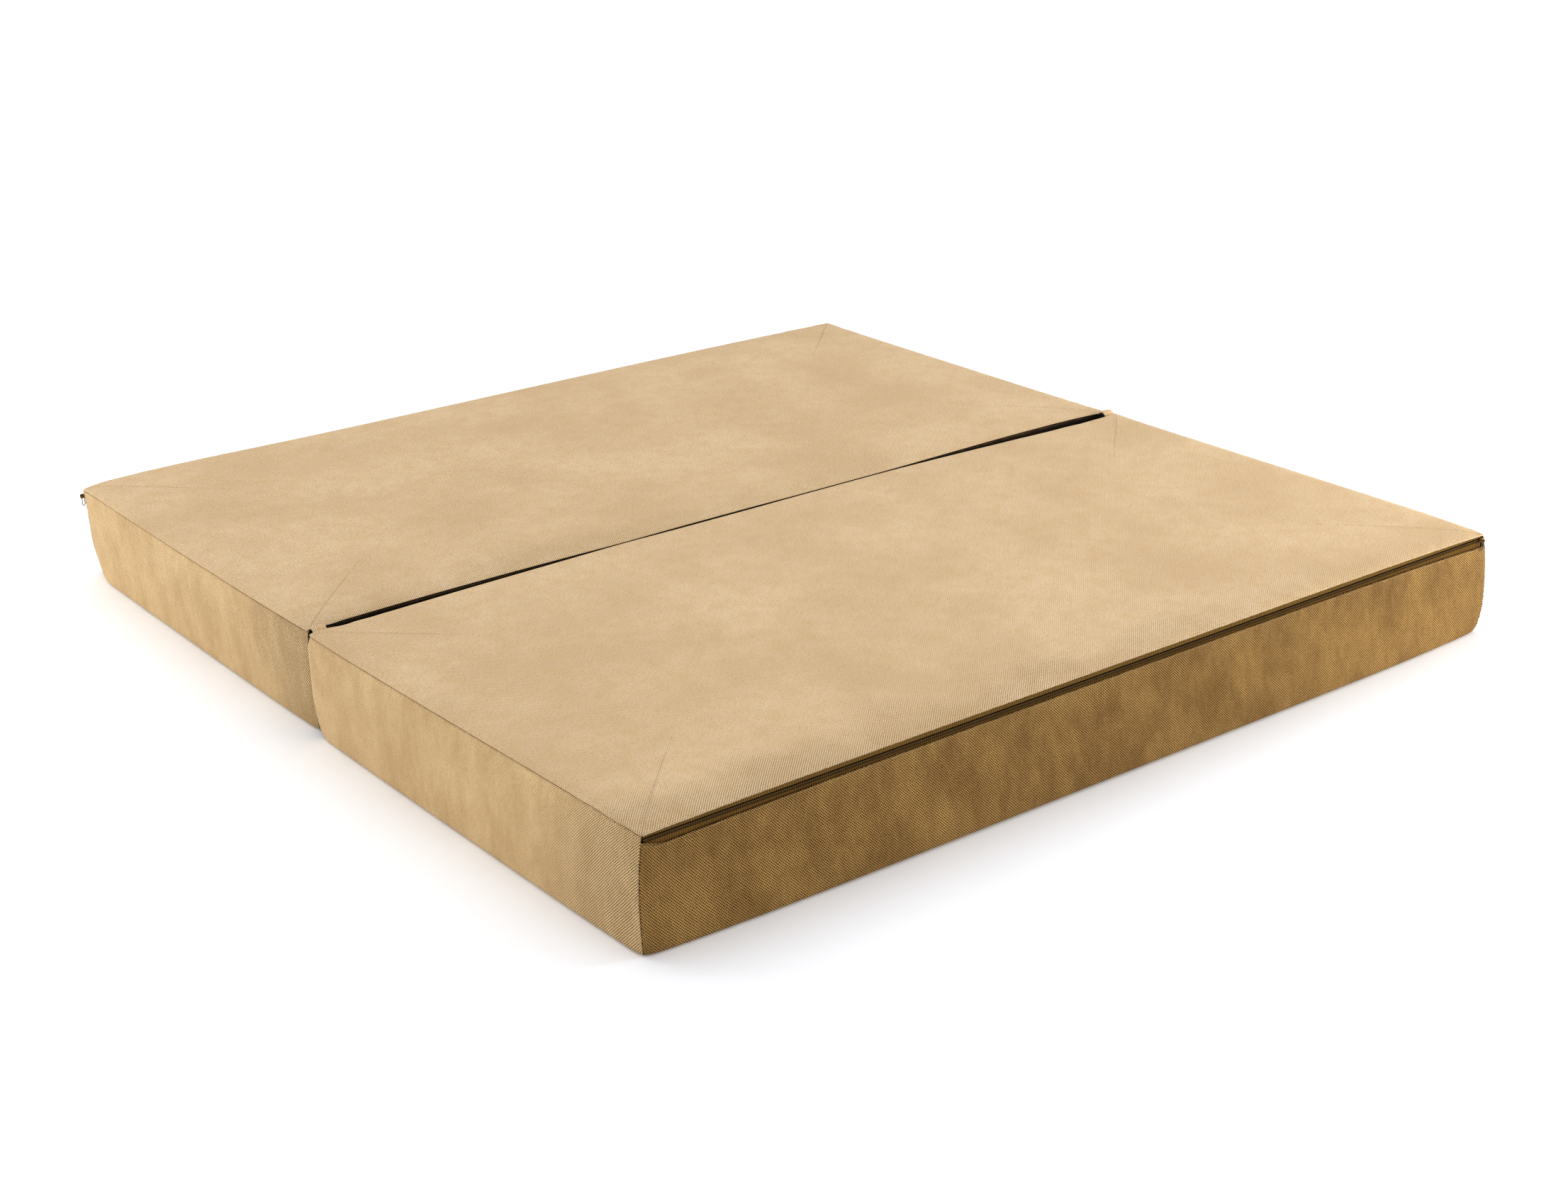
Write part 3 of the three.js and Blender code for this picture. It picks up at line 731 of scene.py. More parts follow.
covers = {}
for number, cushion in enumerate(TURN):
    name = f"{cushion}_cover_top"
    covers[name] = cover_panel(name, cushion, *top_cage(cushion), TOP_SEED + number)
    points, faces, pattern, seams = side_and_base_cage(cushion)
    points, faces, seams = without_loose_points(points, faces, seams)
    name = f"{cushion}_cover_side_and_base"
    covers[name] = cover_panel(name, cushion, points, faces, pattern, seams, SIDE_SEED + number)

# %% [markdown]
# ## Working with node materials
# Every finish here is procedural: a few nodes that compute colour, roughness and relief from the
# place on the piece. This small board keeps the wiring short. It adds a node, sets or links its
# inputs, and returns its output.

# %% A board for wiring materials
def add_node(tree, kind, inputs=None, **settings):
    """Adds a node with its settings. An input that is a socket is linked, and any other is set."""
    node = tree.nodes.new(kind)
    for key, value in settings.items():
        setattr(node, key, value)
    for key, value in (inputs or {}).items():
        if isinstance(value, bpy.types.NodeSocket):
            tree.links.new(value, node.inputs[key])
        else:
            node.inputs[key].default_value = value
    return node


class Board:
    """A material's node tree with short calls."""

    def __init__(self, name):
        self.material = bpy.data.materials.new(name)
        self.material.use_nodes = True
        self.tree = self.material.node_tree
        self.tree.nodes.clear()
        places = self.add("ShaderNodeTexCoord").outputs
        self.pattern, self.place = places["UV"], places["Object"]

    def add(self, kind, inputs=None, **settings):
        return add_node(self.tree, kind, inputs, **settings)

    def math(self, operation, first, second=0.0, third=0.0, clamp=False):
        inputs = {0: first, 1: second, 2: third}
        return self.add("ShaderNodeMath", inputs, operation=operation, use_clamp=clamp).outputs[0]

    def split(self, place):
        return self.add("ShaderNodeSeparateXYZ", {0: place}).outputs

    def away_from(self, value, middle):
        return self.math("ABSOLUTE", self.math("SUBTRACT", value, middle))

    def noise(self, place, scale, detail=2.0, roughness=0.5):
        inputs = {"Vector": place, "Scale": scale, "Detail": detail, "Roughness": roughness}
        return self.add("ShaderNodeTexNoise", inputs).outputs["Fac"]

    def drawn_out(self, scales, detail, roughness=0.5):
        """Noise with another scale along each axis of the piece."""
        stretched = self.add("ShaderNodeMapping", {0: self.place, 3: scales}).outputs[0]
        return self.noise(stretched, 1.0, detail, roughness)

    def span(self, value, low, high, to_low=0.0, to_high=1.0):
        inputs = {"Value": value, 1: low, 2: high, 3: to_low, 4: to_high}
        return self.add("ShaderNodeMapRange", inputs, interpolation_type="SMOOTHSTEP").outputs[0]

    def blend(self, share, first, second):
        inputs = {0: share}
        for key, value in ((6, first), (7, second)):
            inputs[key] = value if isinstance(value, bpy.types.NodeSocket) else (*value, 1.0)
        return self.add("ShaderNodeMix", inputs, data_type="RGBA").outputs[2]

    def finish(self, color, height=None, relief=0.001, **shader):
        """Closes the material with a shader. Relief is the height of the bumps in metres."""
        inputs = {"Base Color": color}
        if height is not None:
            bump = self.add("ShaderNodeBump", {"Height": height, "Distance": relief})
            inputs["Normal"] = bump.outputs[0]
        inputs.update({key.replace("_", " "): value for key, value in shader.items()})
        surface = self.add("ShaderNodeBsdfPrincipled", inputs)
        self.add("ShaderNodeOutputMaterial", {0: surface.outputs[0]})
        return self.material


# %% [markdown]
# ## The cover cloth
# The cloth is a heavy twill. Its diagonal ribs are 3.5 mm apart, and small holes sit where the
# threads cross; their dark colour is painted shade. Two cosine waves on the cutting pattern give
# the ribs, and their product gives the holes. A little noise bends the waves and breaks them up,
# because no hand-fed loom beats every thread alike.

# %% The weave
THREADS = 200.0  # waves to a metre along each axis of the pattern
THREAD_BEND, BEND_SCALE = 2.4, 45.0
THREAD_BREAK, BREAK_SCALE = 0.7, 330.0
HOLE_START, HOLE_FULL = 0.18, 0.72
# the dark of the holes is painted shade; the holes and their depth in the relief are real
HOLE_SHADE_COLOR = (0.055, 0.023, 0.004)


def weave_holes(board, mixed):
    """A mask that is one in the small holes between the threads."""
    u, v, _ = board.split(board.pattern)
    wander = board.math("MULTIPLY", board.noise(board.pattern, BEND_SCALE), THREAD_BEND)
    turns = 2 * math.pi * THREADS
    first = board.math("MULTIPLY_ADD", board.math("SUBTRACT", u, v), turns, wander)
    second = board.math("MULTIPLY_ADD", board.math("ADD", u, v), turns, wander)
    rib = board.math("MULTIPLY_ADD", board.math("COSINE", first), 0.5, 0.5)
    cross = board.math("MULTIPLY_ADD", board.math("COSINE", second), mixed / 2, 1 - mixed / 2)
    broken = board.noise(board.pattern, BREAK_SCALE, 1.0)
    uneven = board.math("MULTIPLY_ADD", broken, THREAD_BREAK, -THREAD_BREAK / 2)
    return board.span(board.math("MULTIPLY_ADD", rib, cross, uneven), HOLE_START, HOLE_FULL)


# %% [markdown]
# Three things change the look of one cloth from place to place. Towards the front side of each
# cushion the real holes of the weave are painted darker: painted shade, where light grazes the
# weave. Fine darts run in from the corners of the tops. And in the gap, where cloth faces cloth
# at a finger's distance, light hardly gets in, and an ambient occlusion mask paints the cloth
# there near black: painted shade.

# %% Painted front shade, darts and painted shade in the gap
FRONT_SHADE_SCALE, FRONT_SHADE_WANDER = 7.0, 0.2
DART_LENGTH, DART_LINE, DART_DEPTH, DART_SHADE = 0.23, (0.0006, 0.0034), -0.7, 0.05
GAP_REACH, GAP_SKY = 0.15, (0.46, 0.58)  # how far it looks for cloth, and the open share of that
GAP_EDGE = (-0.0005, 0.001)  # from here on the pattern is wall, measured from its half width
# near black painted shade, for the gap and beside the zip coils
PAINTED_SHADE_COLOR = (0.004, 0.002, 0.001)


def front_side_shade(board, reach):
    """Painted shade mask: one at each cushion's side towards the front of the bed, nought beyond the
    reach.
    """
    y = board.split(board.place)[1]
    depth = board.math("FLOORED_MODULO", board.math("ADD", y, 2 * HALF_PITCH), 2 * HALF_PITCH)
    cloud = board.noise(board.place, FRONT_SHADE_SCALE, 3.0)
    wander = board.math("MULTIPLY_ADD", cloud, FRONT_SHADE_WANDER, -FRONT_SHADE_WANDER / 2)
    return board.span(board.math("ADD", depth, wander), 0.0, reach, 1.0, 0.0)


def dart_mask(board):
    """One along the fine darts, fading with the distance from the corner."""
    u, v, _ = board.split(board.pattern)
    along_x = board.math("SUBTRACT", HALF_LENGTH, board.math("ABSOLUTE", u))
    along_y = board.math("SUBTRACT", HALF_WIDTH, board.math("ABSOLUTE", v))
    line = board.span(board.away_from(along_x, along_y), *DART_LINE, 1.0, 0.0)
    return board.math("MULTIPLY", line, board.span(along_x, DART_LENGTH / 2, DART_LENGTH, 1.0, 0.0))


def painted_gap_shade(board):
    """Painted shade mask: one on the hinge side, where ambient occlusion finds another wall close."""
    open_sky = board.add("ShaderNodeAmbientOcclusion", {"Distance": GAP_REACH}, samples=8).outputs["AO"]
    v = board.split(board.pattern)[1]
    turned = board.span(v, HALF_WIDTH + GAP_EDGE[0], HALF_WIDTH + GAP_EDGE[1])
    return board.math("MULTIPLY", turned, board.span(open_sky, *GAP_SKY, 1.0, 0.0))


# %% [markdown]
# The surface itself is matt, with a faint sheen from its fuzz. The holes have neither sheen nor
# gloss, or they would look grey. Slow noise adds the mottling of a cloth that has been steamed
# and pressed, and fine noise its thick and thin threads, which weavers call slubs.

# %% The surface of the cloth
# The top's pair is the cloth's own colour. The ends' pair is a copy tuned to the light on them, painted
# light, and the long walls' pair a much darker copy, painted shade.
TOP_LIGHT, TOP_DARK = (0.79, 0.615, 0.408), (0.70, 0.525, 0.33)
LIT_END_PALE, LIT_END_DEEP = (0.845, 0.64, 0.378), (0.69, 0.49, 0.262)
SHADED_WALL_PALE, SHADED_WALL_DEEP = (0.53, 0.34, 0.125), (0.335, 0.195, 0.059)
SHEEN, SHEEN_ROUGHNESS, GLOSS = 0.12, 0.6, 0.2
CLOTH_RELIEF, CLOTH_ROUGHNESS = 0.0012, (0.82, 0.92)
FUZZ_SCALE, FUZZ_HEIGHT = 1100.0, 0.4
FLAT_HOLE, DEEP_HOLE = -0.3, -0.7  # depth of every hole, and more of it where holes are strong
SLUB_SCALE, SLUB_START = 210.0, (0.45, 0.75)


def with_slubs(board, tone, share):
    slub = board.noise(board.pattern, SLUB_SCALE, 3.0, 0.7)
    return board.blend(board.span(slub, *SLUB_START, 0.0, share), tone, SHADED_WALL_PALE)


def cloth_surface(board, tone, hole, strength, patch, dart=None):
    shade = board.math("MULTIPLY", hole, strength)
    color = board.blend(shade, tone, HOLE_SHADE_COLOR)
    fuzz = board.math("MULTIPLY", board.noise(board.pattern, FUZZ_SCALE, 2.0), FUZZ_HEIGHT)
    depth = board.math("MULTIPLY_ADD", strength, DEEP_HOLE, FLAT_HOLE)
    height = board.math("MULTIPLY_ADD", hole, depth, fuzz)
    if dart is not None:
        height = board.math("MULTIPLY_ADD", dart, DART_DEPTH, height)
        color = board.blend(board.math("MULTIPLY", dart, DART_SHADE), color, HOLE_SHADE_COLOR)
    return board.finish(
        color, height, CLOTH_RELIEF, Roughness=board.span(patch, 0.0, 1.0, *CLOTH_ROUGHNESS),
        Sheen_Weight=board.math("MULTIPLY_ADD", shade, -SHEEN, SHEEN),
        Sheen_Roughness=SHEEN_ROUGHNESS,
        Specular_IOR_Level=board.math("MULTIPLY_ADD", shade, -GLOSS, GLOSS, clamp=True),
    )


# %% Top cloth
TOP_MIXED, TOP_SHADE_REACH = 0.9, 0.17
TOP_STRENGTH = (0.16, 0.62)  # of the holes, away from and at the painted front shade


def top_cloth_material():
    board = Board("top cloth")
    hole = weave_holes(board, TOP_MIXED)
    patch = board.span(board.noise(board.place, 4.0, 4.0, 0.6), 0.3, 0.7)
    fine = board.noise(board.pattern, 28.0, 4.0, 0.65)
    tone = board.blend(patch, TOP_DARK, TOP_LIGHT)
    tone = board.blend(board.span(fine, 0.35, 0.75, 0.0, 0.5), tone, LIT_END_DEEP)
    tone = board.blend(painted_gap_shade(board), with_slubs(board, tone, 0.55), PAINTED_SHADE_COLOR)
    x, y, _ = board.split(board.place)
    # Painted shade: the real holes darken more towards each cushion's front side, less to the far end
    # and on the rear cushion.
    wear_and_shade = front_side_shade(board, TOP_SHADE_REACH)
    wear_and_shade = board.math("MULTIPLY", wear_and_shade, board.span(x, -1.0, 0.6, 1.0, 0.45))  # less to the far end
    wear_and_shade = board.math("MULTIPLY", wear_and_shade, board.span(y, -0.01, 0.01, 1.0, 0.6))  # and at the rear
    strength = board.span(wear_and_shade, 0.0, 1.0, *TOP_STRENGTH)
    return cloth_surface(board, tone, hole, strength, patch, dart_mask(board))


# %% Side cloth
SIDE_MIXED, SIDE_SHADE_REACH = 0.75, 0.36
# The long walls' stronger holes are painted shade as well.
SIDE_STRENGTH, WALL_STRENGTH = (0.22, 0.72), 0.86
CLOUD_SCALES, STREAK_SCALES = (12.0, 12.0, 7.0), (70.0, 70.0, 28.0)
STREAK_SHARE = 0.25
WALL_EDGE = (-0.004, 0.002)  # where the long walls start, measured from the pattern's half width


def side_cloth_material():
    """One cloth: the long walls take a darker copy, painted shade, and the ends a lit copy, painted
    light.
    """
    board = Board("side cloth")
    hole = weave_holes(board, SIDE_MIXED)
    v = board.math("ABSOLUTE", board.split(board.pattern)[1])
    long_wall = board.span(v, HALF_WIDTH + WALL_EDGE[0], HALF_WIDTH + WALL_EDGE[1])
    patch = board.span(board.drawn_out(CLOUD_SCALES, 5.0, 0.62), 0.30, 0.70)
    fine = board.span(board.drawn_out(STREAK_SCALES, 3.0, 0.6), 0.35, 0.7)
    patch_share = board.math("MULTIPLY", patch, 1 - STREAK_SHARE)
    cloudy = board.math("MULTIPLY_ADD", fine, STREAK_SHARE, patch_share)
    lit_ends = with_slubs(board, board.blend(cloudy, LIT_END_DEEP, LIT_END_PALE), 0.42)
    shaded_walls = board.blend(cloudy, SHADED_WALL_DEEP, SHADED_WALL_PALE)
    tone = board.blend(painted_gap_shade(board), board.blend(long_wall, lit_ends, shaded_walls), PAINTED_SHADE_COLOR)
    # Painted shade: darker holes towards each cushion's front side.
    wear_and_shade = board.span(front_side_shade(board, SIDE_SHADE_REACH), 0.0, 1.0, *SIDE_STRENGTH)
    strength = board.math("MAXIMUM", board.math("MULTIPLY", long_wall, WALL_STRENGTH), wear_and_shade)
    return cloth_surface(board, tone, hole, strength, patch)


top_cloth, side_cloth = top_cloth_material(), side_cloth_material()
for name, panel in covers.items():
    panel.data.materials.append(top_cloth if name.endswith("top") else side_cloth)
print("cover materials:", [m.name for m in (top_cloth, side_cloth)])

# %% [markdown]
# ## Foam and wadding
# Under the cover lies a block of upholstery foam between two layers of polyester wadding. Nothing
# of them shows until a zip is opened, so they are plain closed meshes, a little smaller than the
# space inside the cover, with a cut foam surface and a fluffy one.

# %% A closed block
def closed_block(name, under, over, columns, rows):
    """A closed body between two grids of points. Columns cross rows anticlockwise from over."""
    count = columns * rows
    faces = []
    for i in range(columns - 1):
        for j in range(rows - 1):
            a = i * rows + j
            faces.append((a, a + 1, a + rows + 1, a + rows))
            faces.append((count + a, count + a + rows, count + a + rows + 1, count + a + 1))
    last = (columns - 1) * rows
    rim = [i * rows for i in range(columns)] + [last + j for j in range(1, rows)]
    rim += [i * rows + rows - 1 for i in range(columns - 2, -1, -1)] + list(range(rows - 2, 0, -1))
    for a, b in zip(rim, rim[1:] + rim[:1]):
        faces.append((a, b, count + b, count + a))
    return new_mesh_object(name, np.concatenate([under, over]), faces)


# %% Filling
FILL_CLEARANCE = 0.004
FILL_INSET = 0.016  # stays inside the walls where they are drawn in
FILL_CELL = 0.04
FILL_EDGE = {"width": 0.006, "segments": 2, "angle": 50}
LUMP_SCALE = 14.0


def round_edges(made, width, segments, angle):
    edge = made.modifiers.new("rounded edges", "BEVEL")
    edge.width = width
    edge.segments = segments
    edge.limit_method = "ANGLE"
    edge.angle_limit = math.radians(angle)
    return bake_modifiers(made)


def filling_mesh(name, cushion, low, high, crowned, lumps, seed):
    """A closed block on a grid, with a crowned top where it lies under the top panel."""
    xs = np.linspace(low[0], high[0], round((high[0] - low[0]) / FILL_CELL) + 1)
    ys = np.linspace(low[1], high[1], round((high[1] - low[1]) / FILL_CELL) + 1)
    grid_x, grid_y = np.meshgrid(xs, ys, indexing="ij")
    plan = np.stack(round_corners(cushion, grid_x, grid_y, 0.0), -1).reshape(-1, 2)
    if crowned:
        top = top_height(cushion, plan[:, 0], plan[:, 1]) - CLOTH_THICKNESS - FILL_CLEARANCE
    else:
        top = np.full(len(plan), high[2])
    lift = lumps * noise_at(np.column_stack([plan, np.zeros(len(plan))]), LUMP_SCALE, seed)
    under = np.column_stack([plan, np.full(len(plan), low[2])])
    over = np.column_stack([plan, top + np.minimum(lift, 0)])
    block = round_edges(closed_block(name, under, over, len(xs), len(ys)), **FILL_EDGE)
    set_coordinates(block.data, to_bed(cushion, coordinates(block.data)))
    return block


def own_box(cushion, node):
    """A CAD node's box in its cushion's own frame."""
    corners = np.array([list(corner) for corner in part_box(node)])
    sign = TURN[cushion]
    own = (corners + (0, sign * HALF_PITCH, 0)) * (sign, sign, 1)
    return own.min(0), own.max(0)


def put_in_place(piece, node, body):
    """The finished piece takes the place of its CAD node and rides on its body."""
    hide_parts(node)
    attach(piece, body)
    print(piece.name, "has", len(piece.data.polygons), "faces")


# %% Foam and wadding
CELL_SCALE, FIBRE_SCALES = 700.0, (60, 420, 420)


def foam_material():
    board = Board("cut foam")
    cells = board.add("ShaderNodeTexVoronoi", {"Vector": board.place, "Scale": CELL_SCALE})
    cells = cells.outputs["Distance"]
    tone = board.blend(board.noise(board.place, 9.0), (0.80, 0.74, 0.53), (0.70, 0.62, 0.40))
    color = board.blend(board.math("MULTIPLY", cells, 0.5), tone, (0.5, 0.42, 0.24))
    return board.finish(color, cells, relief=0.0008, Roughness=0.95)


def wadding_material():
    board = Board("polyester wadding")
    fibres = board.drawn_out(FIBRE_SCALES, 5.0)
    color = board.blend(fibres, (0.86, 0.85, 0.81), (0.72, 0.70, 0.65))
    return board.finish(color, fibres, relief=0.0015, Roughness=0.95, Sheen_Weight=0.3)


foam, wadding = foam_material(), wadding_material()
WADDING_LUMPS = 0.0012
FILLINGS = {
    "foam_core": ("foam", foam, False, 0.0),
    "top_wadding": ("wadding", wadding, True, WADDING_LUMPS),
    "base_wadding": ("wadding", wadding, False, 0.0),
}
for cushion in TURN:
    for number, (kind, (slot, material, crowned, lumps)) in enumerate(FILLINGS.items()):
        low, high = own_box(cushion, f"{cushion}_{kind}")
        room = np.array((HALF_LENGTH, HALF_WIDTH)) - FILL_INSET
        low[:2], high[:2] = np.maximum(low[:2], -room), np.minimum(high[:2], room)
        block = filling_mesh(f"{cushion}_{kind}_filling", cushion, low, high, crowned, lumps, number)
        block.data.materials.append(material)
        put_in_place(block, f"{cushion}_{kind}", f"{cushion}_slab")

# %% [markdown]
# ## Zip tapes
# A zip is two woven tapes with a nylon coil sewn along one edge of each. Here the upper tape is
# caught under the top panel's edge and the lower one behind the wall's hem, and both show as a
# darker band. Machine feeding leaves a fine ripple across a long tape, so each is a thin strip
# whose depth follows a sine wave.

# %% Tapes
TAPE_COLUMNS, TAPE_SHARES = 1100, np.array([0.0, 0.3, 0.7, 1.0])  # from lower to upper edge
TAPE_RIPPLE, RIPPLE_PITCH = 0.00022, 0.0071
TAPE_HALF_LENGTH = 0.9972  # the ends are caught in the corner seams
HEM_LAP, SEAM_LAP = 0.004, 0.003
COIL_HEIGHT = 0.189
COIL_INNER, COIL_OUTER = 0.0006, 0.00275  # from the middle of the zip to a coil's two edges


def zip_end(cushion, end):
    """Where the zip meets a corner seam, just under the cloth."""
    inset = mix(FAR_INSET, NEAR_INSET[cushion][0], near_share(cushion, end))
    return end * (TAPE_HALF_LENGTH - max(float(inset), 0.0))


def tape_edges(cushion, kind, x):
    """The heights of a tape's lower and upper edges for every x."""
    if kind == "lower":
        return hem_height(cushion, x) - HEM_LAP, np.full_like(x, COIL_HEIGHT - COIL_INNER)
    crest = top_height(cushion, x, np.full_like(x, -HALF_WIDTH))
    return np.full_like(x, COIL_HEIGHT + COIL_INNER), crest - SEAM_DEPTH + SEAM_LAP


def tape_strip(cushion, kind):
    """A thin closed strip with a fine ripple."""
    low, high = own_box(cushion, f"{cushion}_zip_{kind}_tape")
    x = np.linspace(zip_end(cushion, -1), zip_end(cushion, 1), TAPE_COLUMNS)
    bottom, top = tape_edges(cushion, kind, x)
    height = bottom[:, None] + (top - bottom)[:, None] * TAPE_SHARES
    ripple = TAPE_RIPPLE * np.sin(2 * np.pi * x / RIPPLE_PITCH)[:, None] * np.sin(np.pi * TAPE_SHARES)
    middle, depth = (low[1] + high[1]) / 2 + ripple, (high[1] - low[1]) / 2 - TAPE_RIPPLE
    wide = np.broadcast_to(x[:, None], height.shape)
    back, front = (
        np.stack([wide, middle + way * depth, height], -1).reshape(-1, 3) for way in (1, -1)
    )
    name = f"{cushion}_{kind}_tape"
    strip = closed_block(name, back, front, TAPE_COLUMNS, len(TAPE_SHARES))
    set_coordinates(strip.data, to_bed(cushion, coordinates(strip.data)))
    return strip


# %% Tape weave
ROW_PITCH, ROW_HEIGHT = 0.0012, 0.3
BAR_PITCH, BAR_DRIFT = 0.0043, 3.0
BAR_COLOR, BAR_SHARE = (0.05, 0.025, 0.008), 0.45
LINE_FADE, LINE_START = 0.0006, (-0.0014, -0.0006)  # of the painted shadow line beside the coil
TAPE_LOOKS = {  # light and dark colour, and how far the painted shadow line reaches past the coil
    "upper": ((0.33, 0.205, 0.062), (0.21, 0.125, 0.035), 0.0004),
    "lower": ((0.30, 0.175, 0.048), (0.18, 0.10, 0.026), 0.0013),
}


def tape_material(kind, color, dark, line):
    """Woven tape with bars across it and a painted shadow line beside the coil."""
    board = Board(f"{kind} tape weave")
    x, _, z = board.split(board.place)
    rows = board.math("SINE", board.math("MULTIPLY", z, 2 * math.pi / ROW_PITCH))
    drift = board.math("MULTIPLY", board.noise(board.place, 40.0), BAR_DRIFT)
    bars = board.math("SINE", board.math("MULTIPLY_ADD", x, 2 * math.pi / BAR_PITCH, drift))
    shade = board.math("MULTIPLY", board.span(bars, -0.4, 1.0), BAR_SHARE)
    tone = board.blend(board.noise(board.place, 16.0, 4.0), color, dark)
    tone = board.blend(shade, tone, BAR_COLOR)
    off = board.away_from(z, COIL_HEIGHT)
    inner = board.span(off, COIL_OUTER + LINE_START[0], COIL_OUTER + LINE_START[1])
    outer = board.span(off, COIL_OUTER + line, COIL_OUTER + line + LINE_FADE, 1.0, 0.0)
    # Painted shadow: a near black line along each edge of the coil.
    tone = board.blend(board.math("MULTIPLY", inner, outer), tone, PAINTED_SHADE_COLOR)
    height = board.math("MULTIPLY_ADD", rows, ROW_HEIGHT, bars)
    return board.finish(tone, height, relief=0.0003, Roughness=0.85, Specular_IOR_Level=0.1)


tape_cloths = {kind: tape_material(kind, *look) for kind, look in TAPE_LOOKS.items()}
for cushion in TURN:
    for kind, material in tape_cloths.items():
        strip = tape_strip(cushion, kind)
        strip.data.materials.append(material)
        put_in_place(strip, f"{cushion}_zip_{kind}_tape", f"{cushion}_slab")

# %% [markdown]
# ## Zip coils
# A coil is one nylon thread wound into close turns, about one every two millimetres. A thousand
# equal turns are a job for Geometry Nodes: the tree makes a single flattened turn of thread, sets
# it on a line of points, and makes the copies real. Because each turn ends where the next one
# starts, the row reads as one thread.

# %% Working with Geometry Nodes
class NodeGroup:
    """A Geometry Nodes tree with named inputs."""

    def __init__(self, name, inputs):
        self.tree = bpy.data.node_groups.new(name, "GeometryNodeTree")
        sockets = self.tree.interface
        for label, kind in {"Geometry": "Geometry", **inputs}.items():
            sockets.new_socket(label, in_out="INPUT", socket_type=f"NodeSocket{kind}")
        sockets.new_socket("Geometry", in_out="OUTPUT", socket_type="NodeSocketGeometry")
        self.given = self.tree.nodes.new("NodeGroupInput").outputs

    def add(self, kind, inputs=None, output=0, **settings):
        return add_node(self.tree, kind, inputs, **settings).outputs[output]

    def finish(self, instances):
        """Makes the copies real, gives them the material and closes the tree."""
        real = self.add("GeometryNodeRealizeInstances", {0: instances})
        dressed = self.add("GeometryNodeSetMaterial", {0: real, "Material": self.given["Material"]})
        add_node(self.tree, "NodeGroupOutput", {0: dressed})
        return self.tree


def run_nodes(base, tree, values):
    """Runs a tree on the object with the named values, and keeps its result as plain mesh."""
    modifier = base.modifiers.new("nodes", "NODES")
    modifier.node_group = tree
    for item in tree.interface.items_tree:
        if item.item_type == "SOCKET" and item.in_out == "INPUT" and item.name in values:
            modifier[item.identifier] = values[item.name]
    return bake_modifiers(base)


# %% Coil turns
COIL_PITCH, COIL_THREAD = 0.002, 0.0003
TURN_POINTS, THREAD_SIDES = 6, 4
COIL_HEAD = (0.0017, 0.0023)  # from the middle of the zip, where the pale turns end and the darkened legs begin
COIL_SIDES = {"upper": 1, "lower": -1}


def coil_tree():
    group = NodeGroup("coil turns", {
        "Turns": "Int", "Pitch": "Float", "Half Width": "Float", "Half Depth": "Float",
        "Thread": "Float", "Start": "Vector", "Material": "Material",
    })
    given = group.given
    turn = group.add("GeometryNodeCurveSpiral", {
        "Resolution": TURN_POINTS, "Rotations": 1.0, "Start Radius": 1.0, "End Radius": 1.0,
        "Height": given["Pitch"],
    })
    flat = group.add("ShaderNodeCombineXYZ", {0: given["Half Width"], 1: given["Half Depth"], 2: 1.0})
    shaped = group.add("GeometryNodeTransform", {0: turn, "Scale": flat})
    laid = group.add("GeometryNodeTransform", {0: shaped, "Rotation": (0, math.pi / 2, 0)})
    section = group.add("GeometryNodeCurvePrimitiveCircle", {
        "Resolution": THREAD_SIDES, "Radius": given["Thread"],
    })
    thread = group.add("GeometryNodeCurveToMesh", {0: laid, 1: section, "Fill Caps": True})
    step = group.add("ShaderNodeCombineXYZ", {0: given["Pitch"], 1: 0.0, 2: 0.0})
    line = group.add("GeometryNodeMeshLine", {
        "Count": given["Turns"], "Start Location": given["Start"], "Offset": step,
    })
    return group.finish(group.add("GeometryNodeInstanceOnPoints", {"Points": line, "Instance": thread}))


def coil_material():
    board = Board("nylon coil")
    off = board.away_from(board.split(board.place)[2], COIL_HEIGHT)
    wear_and_shade = board.noise(board.place, 220.0, 3.0)
    pale = board.blend(wear_and_shade, (0.40, 0.28, 0.135), (0.30, 0.20, 0.09))
    # The outer legs are darkened: partly the dark stitching over them, partly painted shadow at the
    # tape.
    color = board.blend(board.span(off, *COIL_HEAD), pale, (0.02, 0.009, 0.003))
    return board.finish(color, wear_and_shade, relief=0.0001, Roughness=0.6, Specular_IOR_Level=0.1)


def coil(cushion, kind, side):
    """One row of turns, above or below the middle of the zip."""
    low, high = own_box(cushion, f"{cushion}_zip_{kind}_coil")
    low[2], high[2] = sorted((COIL_HEIGHT + side * COIL_INNER, COIL_HEIGHT + side * COIL_OUTER))
    low[0], high[0] = max(low[0], zip_end(cushion, -1)), min(high[0], zip_end(cushion, 1))
    middle, half = (low + high) / 2, (high - low) / 2 - COIL_THREAD
    made = new_mesh_object(f"{cushion}_{kind}_coil", [(0, 0, 0)], [])
    run_nodes(made, coil_turns, {
        "Turns": int((high[0] - low[0]) / COIL_PITCH), "Pitch": COIL_PITCH,
        "Half Width": float(half[2]), "Half Depth": float(half[1]), "Thread": COIL_THREAD,
        "Start": (float(low[0]), float(middle[1]), float(middle[2])), "Material": nylon,
    })
    set_coordinates(made.data, to_bed(cushion, coordinates(made.data)))
    return made


coil_turns, nylon = coil_tree(), coil_material()
for cushion in TURN:
    for kind, side in COIL_SIDES.items():
        made = coil(cushion, kind, side)
        put_in_place(made, f"{cushion}_zip_{kind}_coil", f"{cushion}_slab")

# %% [markdown]
# ## Covers on their bodies
# The panels are finished, so they take the places of the plain CAD panels and ride on the two
# cushions. Before that, a search tree of each is kept, so that stitches can be laid on the cloth.

